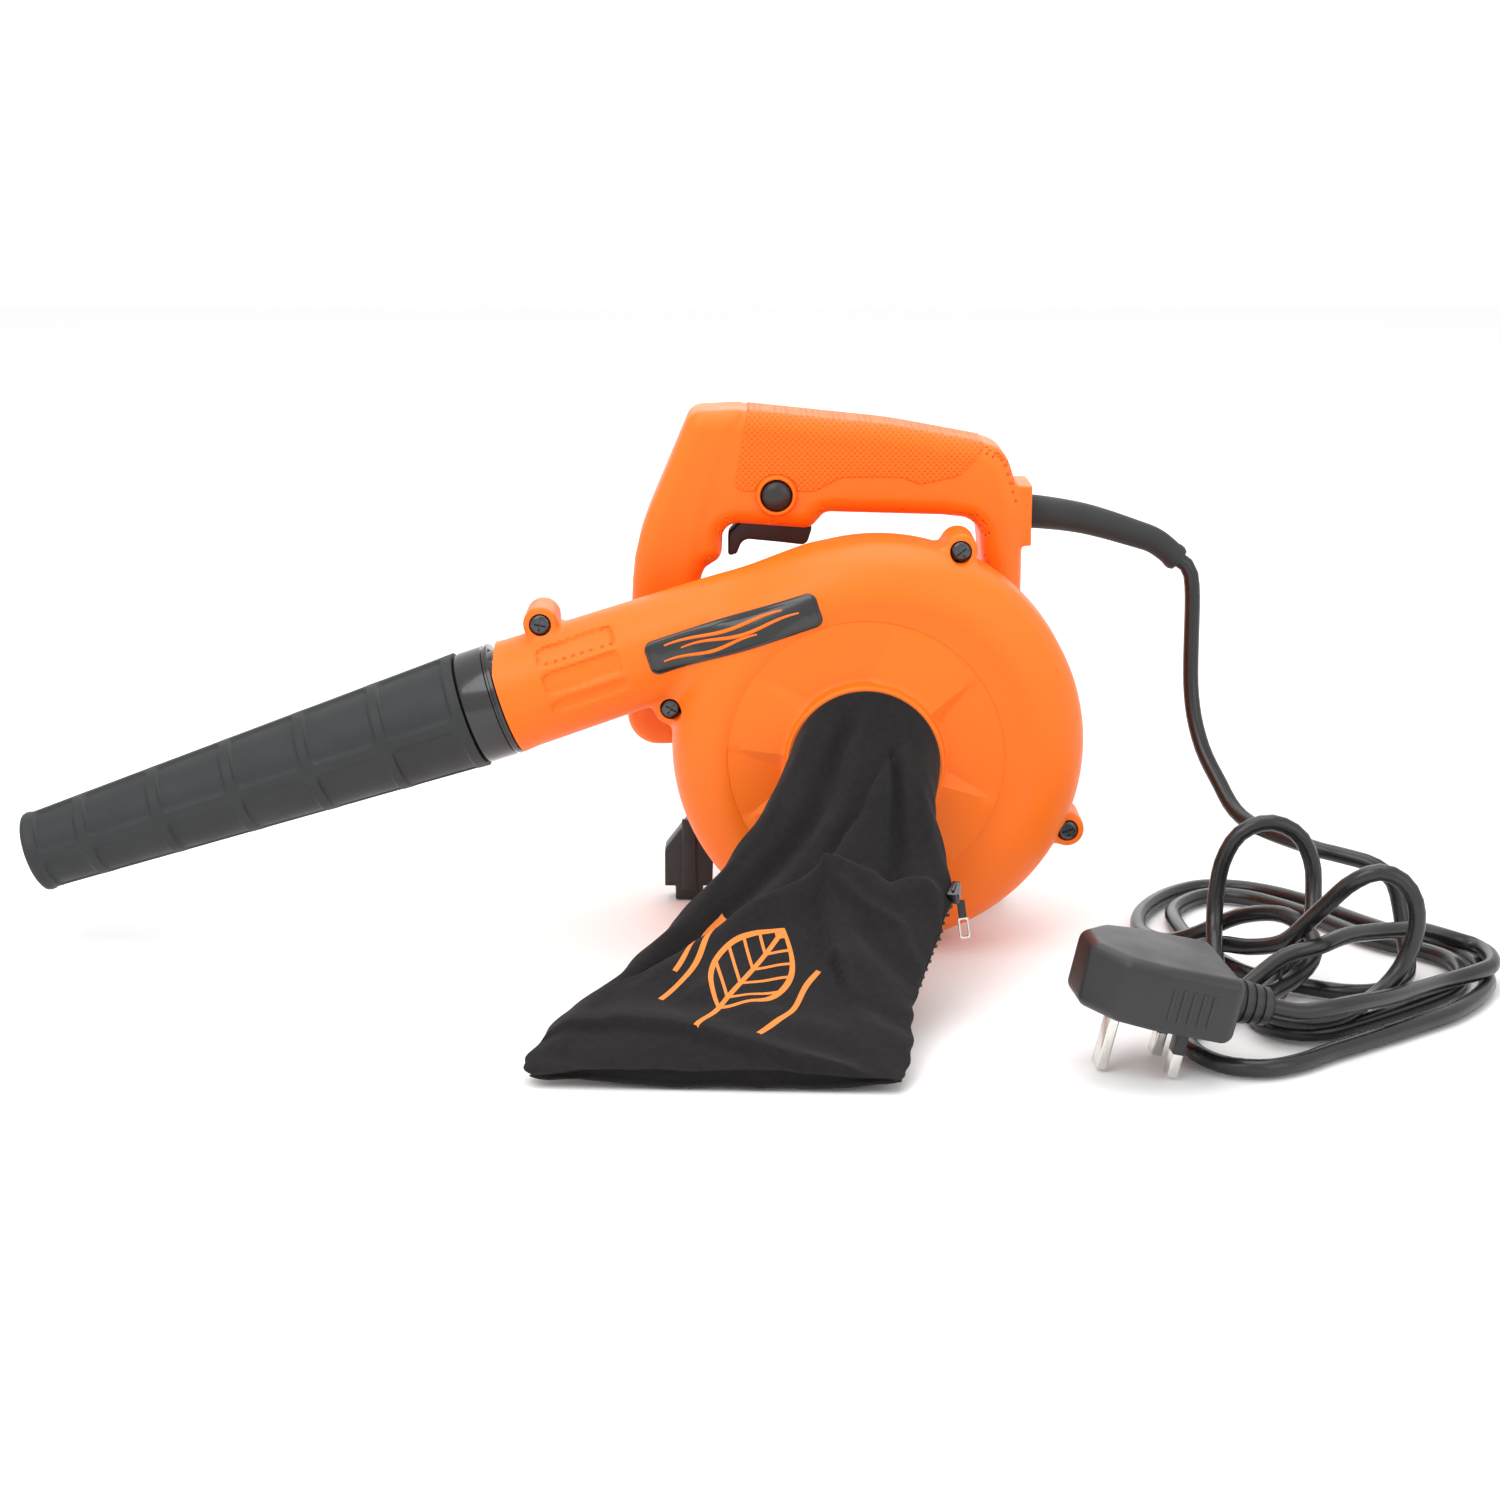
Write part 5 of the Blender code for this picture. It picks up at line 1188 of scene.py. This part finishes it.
def nozzle():
    """The rubber cone: a net of raised ribs round shallow panels, and a rolled lip."""
    start, end = COLLAR_LEN + GAP, COLLAR_LEN + NOZZLE_LEN
    ribs = [start + 0.0022 + 0.0318 * k for k in range(6)]
    half, deep, corner = 0.0018, 0.0011, 0.0030
    levels = {start, start + 0.0004, end, end - 0.0006, end - 0.0016, end - 0.0026, end - 0.0040}
    panels = []
    for a, b in zip(ribs, ribs[1:] + [end - 0.0040]):
        panels.append((a + half, b - half))
    for a, b in panels:
        for k in range(-1, 8):
            levels |= {a + 0.00042 * k, b - 0.00042 * k}
        levels |= {a + 0.0036 + (b - a - 0.0072) * k / 9 for k in range(10)}
    levels = sorted(level for level in levels if start <= level <= end)
    turns = []
    for quarter in range(4):
        middle = quarter * 90.0
        turns += [middle + d for d in (-6.5, -5.6, -4.9, -4.2, -3.4, -2.2, 0, 2.2, 3.4, 4.2, 4.9,
                                       5.6, 6.5)]
        turns += [middle + 6.5 + 77 * k / 18 for k in range(1, 18)]
    rows = []
    bm = bmesh.new()

    def outer(level, angle):
        r = NOZZLE_R + (NOZZLE_TIP_R - NOZZLE_R) * (level - start) / (end - start)
        from_rib = abs((angle + 45) % 90 - 45)
        sink = 0.0
        for a, b in panels:
            wide = math.radians(from_rib) * r - half
            inner = min(level - a, b - level)
            if wide > 0 and inner > 0:
                u, v = max(corner - wide, 0), max(corner - inner, 0)
                depth = corner - math.hypot(u, v) if u and v else min(wide, inner)
                sink = deep * min(max(depth / 0.0009, 0), 1)
        lip = end - level
        if lip < 0.0040:
            sink = -0.0006 * math.sin(math.pi * min(lip / 0.0036, 1)) ** 0.8
        return r - sink - (0.0006 if lip == 0 else 0)

    for level in levels:
        rows.append([outer(level, angle) for angle in turns])
    inside = [(end, NOZZLE_TIP_R - 0.0020), (end - 0.0006, NOZZLE_TIP_R - 0.0025),
              (0.052, SPIGOT_R + GAP - 0.0012), (COLLAR_LEN + SPIGOT_LEN + 0.001, SPIGOT_R + GAP),
              (start, SPIGOT_R + GAP)]
    rings = [[(level, radius) for radius in row] for level, row in zip(levels, rows)]
    rings += [[(level, radius)] * len(turns) for level, radius in inside]
    made = []
    for ring in rings:
        made.append([bm.verts.new((radius * math.sin(math.radians(angle)),
                                   -radius * math.cos(math.radians(angle)), level))
                     for (level, radius), angle in zip(ring, turns)])
    bridged(bm, made, closed=True)
    piece("nozzle_cone", to_mesh(bm), "rubber", "nozzle", ["nozzle"], OUTLET, bend=50)


# ---------------------------------------------------------------- dust bag
def ring_at(v):
    """Centre, across and thick of the bag at v from 0 at the neck to 7 at the hem."""
    i = min(int(v), 6)
    rings = [BAG_RINGS[k] for k in (max(i - 1, 0), i, i + 1, min(i + 2, 7))]
    return [curve_at(*(Vector(ring[part]) for ring in rings), v - i) for part in range(3)]


# soft ridges and valleys of the cloth: points (v, a), height and width
FOLDS = (
    (((0.7, 0.10), (1.5, 0.02), (2.1, -0.05)), 0.0026, 0.14),
    (((0.2, -0.7), (1.6, -0.75), (3.4, -0.80), (5.8, -0.86)), 0.0020, 0.14),
    (((0.6, 0.90), (1.6, 0.84), (2.4, 0.88)), 0.0040, 0.12),
    (((3.1, 0.30), (3.25, 0.80), (3.7, 0.95)), 0.0020, 0.05),
    (((4.3, 0.50), (4.9, 0.66), (5.6, 0.95)), 0.0024, 0.10),
    (((4.9, -0.20), (5.4, 0.15), (5.7, 0.60)), 0.0016, 0.10),
    (((0.9, -0.15), (2.0, -0.28), (3.0, -0.42), (4.2, -0.72)), -0.0058, 0.17),
    (((1.3, 0.50), (1.9, 0.47), (2.5, 0.58)), -0.0075, 0.10),
    (((3.6, 0.60), (4.0, 0.85), (4.2, 1.00)), -0.0030, 0.10),
    (((5.0, 0.70), (5.3, 1.00)), -0.0026, 0.10),
    (((4.6, -0.55), (5.1, -0.30), (5.2, 0.00)), -0.0012, 0.12),
)
# edges where one layer of cloth overlaps another: points (v, a), which side is high, height and
# width; the high side falls off slowly and the other side steps down
EDGES = (
    (((4.2, 0.46), (3.5, 0.29), (2.9, 0.13), (2.3, 0.13), (1.7, 0.26), (1.2, 0.45)),
     -1, 0.0052, 0.24),
    (((4.1, -0.66), (3.4, -0.30), (2.9, 0.10)), -1, 0.0042, 0.16),
    (((2.85, 0.15), (2.65, 0.60), (2.35, 0.97)), -1, 0.0044, 0.16),
    (((5.45, -0.98), (5.5, -0.60), (5.85, -0.12), (6.6, 0.42), (6.8, 0.66)), 1, 0.0040, 0.15),
)


V_SCALE = 0.36        # how far one step of v is, in steps of a


def nearest(line, v, a):
    """Distance from (v, a) to a line, and the side that it is on."""
    best, side = 9.0, 1.0
    for (v0, a0), (v1, a1) in zip(line, line[1:]):
        dv, da = (v1 - v0) * V_SCALE, a1 - a0
        pv, pa = (v - v0) * V_SCALE, a - a0
        t = min(max((pv * dv + pa * da) / (dv * dv + da * da), 0.0), 1.0)
        gap = math.hypot(pv - t * dv, pa - t * da)
        if gap < best:
            best, side = gap, dv * pa - da * pv
    return best, side


def fold_height(v, a):
    total = 0.0
    for line, height, width in FOLDS:
        gap, _ = nearest(line, v, a)
        total += height * math.exp(-(gap / width) ** 2 * 1.6)
    for line, high, height, width in EDGES:
        gap, side = nearest(line, v, a)
        reach = width if side * high > 0 else 0.028
        total += height * math.exp(-(gap / reach) ** 2 * 1.2)
    return total


def smooth_step(share):
    share = min(max(share, 0.0), 1.0)
    return share * (share * (3 - 2 * share))


def bag_point(v, turn):
    centre, across, thick = ring_at(v)
    a, b = math.cos(turn), math.sin(turn)
    settled = smooth_step((v - 0.3) / 1.5)
    lens = b * (1 - 0.10 * settled * math.cos(2 * turn))
    spot = centre + across * a + thick * lens
    ease = smooth_step(v / 1.3)
    up = Vector((0, -0.55 + 0.06 * v, 0.9)).normalized()
    side = b if b > 0 else 0.35 * b
    lift = fold_height(v, a) * ease * (abs(side) ** 0.6) * (1 if b > 0 else -0.3)
    seed = Vector((spot.x * 38 + 4.0, spot.y * 30, spot.z * 30 + (0 if b > 0 else 9.0)))
    lift += ease * 0.0016 * noise.noise(seed) * (abs(b) ** 0.5)
    streak = Vector((a * 5.2 - v * 1.1, v * 0.75, 2.0 if b > 0 else 6.0))
    lift += ease * 0.0013 * noise.noise(streak) * (abs(b) ** 0.5)
    spot += up * lift
    wave = ease * abs(a) ** 6
    spot += across.normalized() * math.copysign(1, a) * wave * 0.0022 * noise.noise(
        Vector((v * 2.3, 3.0 if a > 0 else 7.0, 0)))
    spot.z = max(spot.z, FLOOR + 0.0006)
    return spot


def dust_bag():
    rows_count, sides = 190, 208
    bm = bmesh.new()
    rows = []
    for i in range(rows_count + 1):
        v = 7 * i / rows_count
        rows.append([bm.verts.new(bag_point(v, math.tau * k / sides)) for k in range(sides)])
    # the hem is folded in, so the end closes on itself
    inner = []
    for share, back in ((0.96, 0.0006), (0.86, 0.0030)):
        centre = sum((v.co for v in rows[-1]), Vector()) / sides
        inner.append([bm.verts.new(centre + (v.co - centre) * share + Vector((0, back, 0)))
                      for v in rows[-1]])
    rows += inner
    bridged(bm, rows)
    bm.faces.new(rows[0])
    bmesh.ops.triangle_fill(bm, use_beauty=True, edges=rim_edges(bm, rows[-1]))
    piece("bag_cloth", to_mesh(bm), "cloth", "bag", ["dust_bag"], bend=0)


# ---------------------------------------------------------------- cord and plug
def cord_pieces():
    path = smooth_path(CORD_ROUTE, 0.0045)
    for spot in path:
        spot.z = max(spot.z, FLOOR + CORD_R + 0.0001)
        spot.x = min(spot.x, CORD_EASE_X + CORD_EASE * (spot.x - CORD_EASE_X))
    curve = bpy.data.curves.new("mains_lead", "CURVE")
    curve.dimensions = "3D"
    curve.bevel_depth, curve.bevel_resolution, curve.use_fill_caps = CORD_R, 5, True
    spline = curve.splines.new("POLY")
    spline.points.add(len(path) - 1)
    for point, spot in zip(spline.points, path):
        point.co = (*(spot + AXIS), 1)
    spline.use_smooth = True
    lead = bpy.data.objects.new("mains_lead", curve)
    bpy.context.scene.collection.objects.link(lead)
    curve.materials.append(LOOKS["cord"])
    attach(lead, "machine")
    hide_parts("mains_cord")

    spacing = 0.0016
    route = smooth_path(GUARD_ROUTE, spacing)
    count = len(route) - 1
    radii = [GUARD_ROOT_R + (GUARD_TIP_R - GUARD_ROOT_R) * k / count for k in range(count + 1)]
    for k in range(count + 1):
        if (count - k) * spacing < GUARD_LIP:
            radii[k] = GUARD_TIP_R + 0.0005
    radii[-1] = GUARD_TIP_R - 0.0003
    piece("strain_relief", sweep(route, radii, 32), "rubber", nodes=["cord_guard"])
    plug = plug_pieces()
    tie = wire_tie()
    tuple(path[0] + AXIS)


def plug_pieces():
    down = Matrix.Rotation(PLUG_YAW, 4, "Z") @ Matrix.Rotation(PLUG_TILT, 4, "Y")
    spot = Vector((*PLUG_TIP, FLOOR + 0.0012)) + down.to_3x3() @ Vector((0, 0, EARTH_LEN))
    frame_at = Matrix.Translation(spot) @ down
    shell = prism([list(PLUG_OUTLINE)], eased(-0.0235, 0, 0.0042, 5), 12)
    shell.transform(Matrix.Rotation(math.radians(-90), 4, "X"))
    ridges = []
    for side in (-1, 1):
        for k in range(5):
            ridges.append(block((0.0115 + 0.0036 * k, side * 0.0249, 0.0110),
                                (0.0016, 0.0012, 0.0120), 0.0005))
    profile = [(0, -0.002), (0.0086, -0.002), (0.0086, 0.0010)]
    for k in range(5):
        at, radius = 0.0012 + 0.0036 * k, 0.0084 - 0.00038 * k
        profile += [(radius, at), (radius, at + 0.0020), (radius - 0.0010, at + 0.0024),
                    (radius - 0.0011, at + 0.0033)]
    profile += [(0.0060, 0.0190), (0, 0.0190)]
    relief = turned(profile, 48)
    relief.transform(Matrix.Translation((0.0355, 0, 0.0100)) @ Matrix.Rotation(math.pi / 2, 4, "Y"))
    body = piece("plug_shell", joined(shell, relief, *ridges), "black_plastic",
                 nodes=["plug_body"], matrix=frame_at, bend=32)
    made = [body]
    earth = block((0, 0, -EARTH_LEN / 2 - GAP / 2), (0.0040, 0.0080, EARTH_LEN - GAP), 0.0008)
    made.append(piece("earth_pin", earth, "nickel", nodes=["plug_earth_pin"], matrix=frame_at))
    for name, side in (("live", -1), ("neutral", 1)):
        pin = block((PIN_PITCH, side * LIVE_SPREAD, -LIVE_LEN / 2 - GAP / 2),
                    (0.0040, 0.0064, LIVE_LEN - GAP), 0.0008)
        made.append(piece(f"{name}_pin", pin, "nickel", nodes=[f"plug_{name}_pin"],
                          matrix=frame_at))
        sleeve = block((PIN_PITCH, side * LIVE_SPREAD, -0.0049), (0.0043, 0.0067, 0.0092), 0.0008)
        made.append(piece(f"{name}_sleeve", sleeve, "black_plastic", matrix=frame_at))
    return made


def wire_tie():
    """A thin wire tie round the waist of the hank."""
    path, steps, laps = [], 60, 1.12
    for k in range(steps):
        turn = math.tau * laps * k / (steps - 1)
        path.append(TIE_AT + Vector((0.35 * TIE_R * math.cos(turn), 0.85 * TIE_R * math.cos(turn),
                                     0.78 * TIE_R * math.sin(turn) + 0.0008)))
    for point in path:
        point.z = max(point.z, FLOOR + 0.0011)
    return piece("hank_tie", sweep(path, [TIE_WIRE_R] * len(path), 10), "black_plastic")


# ---------------------------------------------------------------- zip
def zip_pieces():
    """A short metal zip on the bag's right edge, with its slider and its pull."""
    run = ZIP_RUN.normalized()
    turn = run.to_track_quat("X", "Z").to_matrix().to_4x4()
    place = Matrix.Translation(ZIP_AT) @ turn
    line = smooth_path([bag_point(1.7 + 0.1 * k, -0.30) for k in range(24)], 0.0021)
    teeth = []
    for k in range(1, len(line) - 1):
        along = (line[k + 1] - line[k - 1]).to_track_quat("X", "Z").to_matrix().to_4x4()
        tooth = Matrix.Translation(line[k]) @ along
        teeth.append(block((0, 0.0010 * (1 if k % 2 else -1), 0), (0.0012, 0.0022, 0.0014),
                           0.0003, tooth, 1))
    piece("zip_teeth", joined(*teeth), "dark_screw", "bag")
    welts = []
    for turn_at in (-0.19, -0.41):
        edge = smooth_path([bag_point(1.6 + 0.1 * k, turn_at) for k in range(26)], 0.003)
        welts.append(sweep(edge, [0.0008] * len(edge), 10))
    piece("zip_welts", joined(*welts), "band", "bag")
    wedge = [(-0.0040, -0.0016, 0.0008), (0.0040, -0.0026, 0.0012), (0.0040, 0.0026, 0.0012),
             (-0.0040, 0.0016, 0.0008)]
    shell = prism([wedge], eased(-0.0025, 0.0025, 0.0007, 2), 20)
    shell.transform(Matrix.Rotation(math.radians(90), 4, "X"))
    bridge = block((0, 0, 0.0030), (0.0050, 0.0012, 0.0010), 0.0004)
    piece("zip_slide_body", joined(shell, bridge), "dark_screw", "zip_slider", ["zip_slider"],
          place)
    hinge = ZIP_AT + Vector((0.0022, 0.0, -0.0030))
    lean = Matrix.Translation(hinge) @ Matrix.Rotation(math.radians(-8), 4, "Y")
    tab = block((0, 0, -0.0036), (0.0030, 0.0011, 0.0074), 0.0004)
    outer = [(-0.0021, -0.0150, 0.0009), (0.0021, -0.0150, 0.0009), (0.0021, -0.0066, 0.0009),
             (-0.0021, -0.0066, 0.0009)]
    hole = moved(outer, 0.0009)
    loop = prism([outer, hole], eased(-0.0006, 0.0006, 0.0003, 2), 18)
    piece("zip_pull_tab", tab, "black_plastic", "zip_pull", ["zip_pull"], lean)
    piece("zip_pull_loop", loop, "nickel", "zip_pull", matrix=lean)


# ---------------------------------------------------------------- the rest of the frame
RECOLOUR = {
    "black_plastic": ["inlet_guard", "impeller", "switch_body", "cable_clamp"],
    "steel": ["armature_shaft", "front_bearing", "rear_bearing", "impeller_washer",
              "impeller_nut", "trigger_pin", "plunger_spring", "lock_spring",
              "brush_spring_left", "brush_spring_right"],
    "iron": ["stator_core", "armature_core"],
    "copper": ["field_coil_right", "field_coil_left", "armature_winding_front",
               "armature_winding_rear", "commutator"],
    "brass": ["brush_holder_left", "brush_holder_right", "suppression_capacitor"],
    "carbon": ["carbon_brush_left", "carbon_brush_right"],
    "white_nylon": ["switch_plunger"],
    "band": ["bag_neck_band"],
}


def dress_nodes():
    for finish, names in RECOLOUR.items():
        for name in names:
            for slot in NODES[name].material_slots:
                slot.material = LOOKS[finish]


camera_and_stage()
LOOKS = finishes()
cord_pieces()
casing()
end_cap()
screws()
badge()
stand()
handle()
grip_inlays()
trigger_and_button()
collar()
nozzle()
dust_bag()
zip_pieces()
dress_nodes()
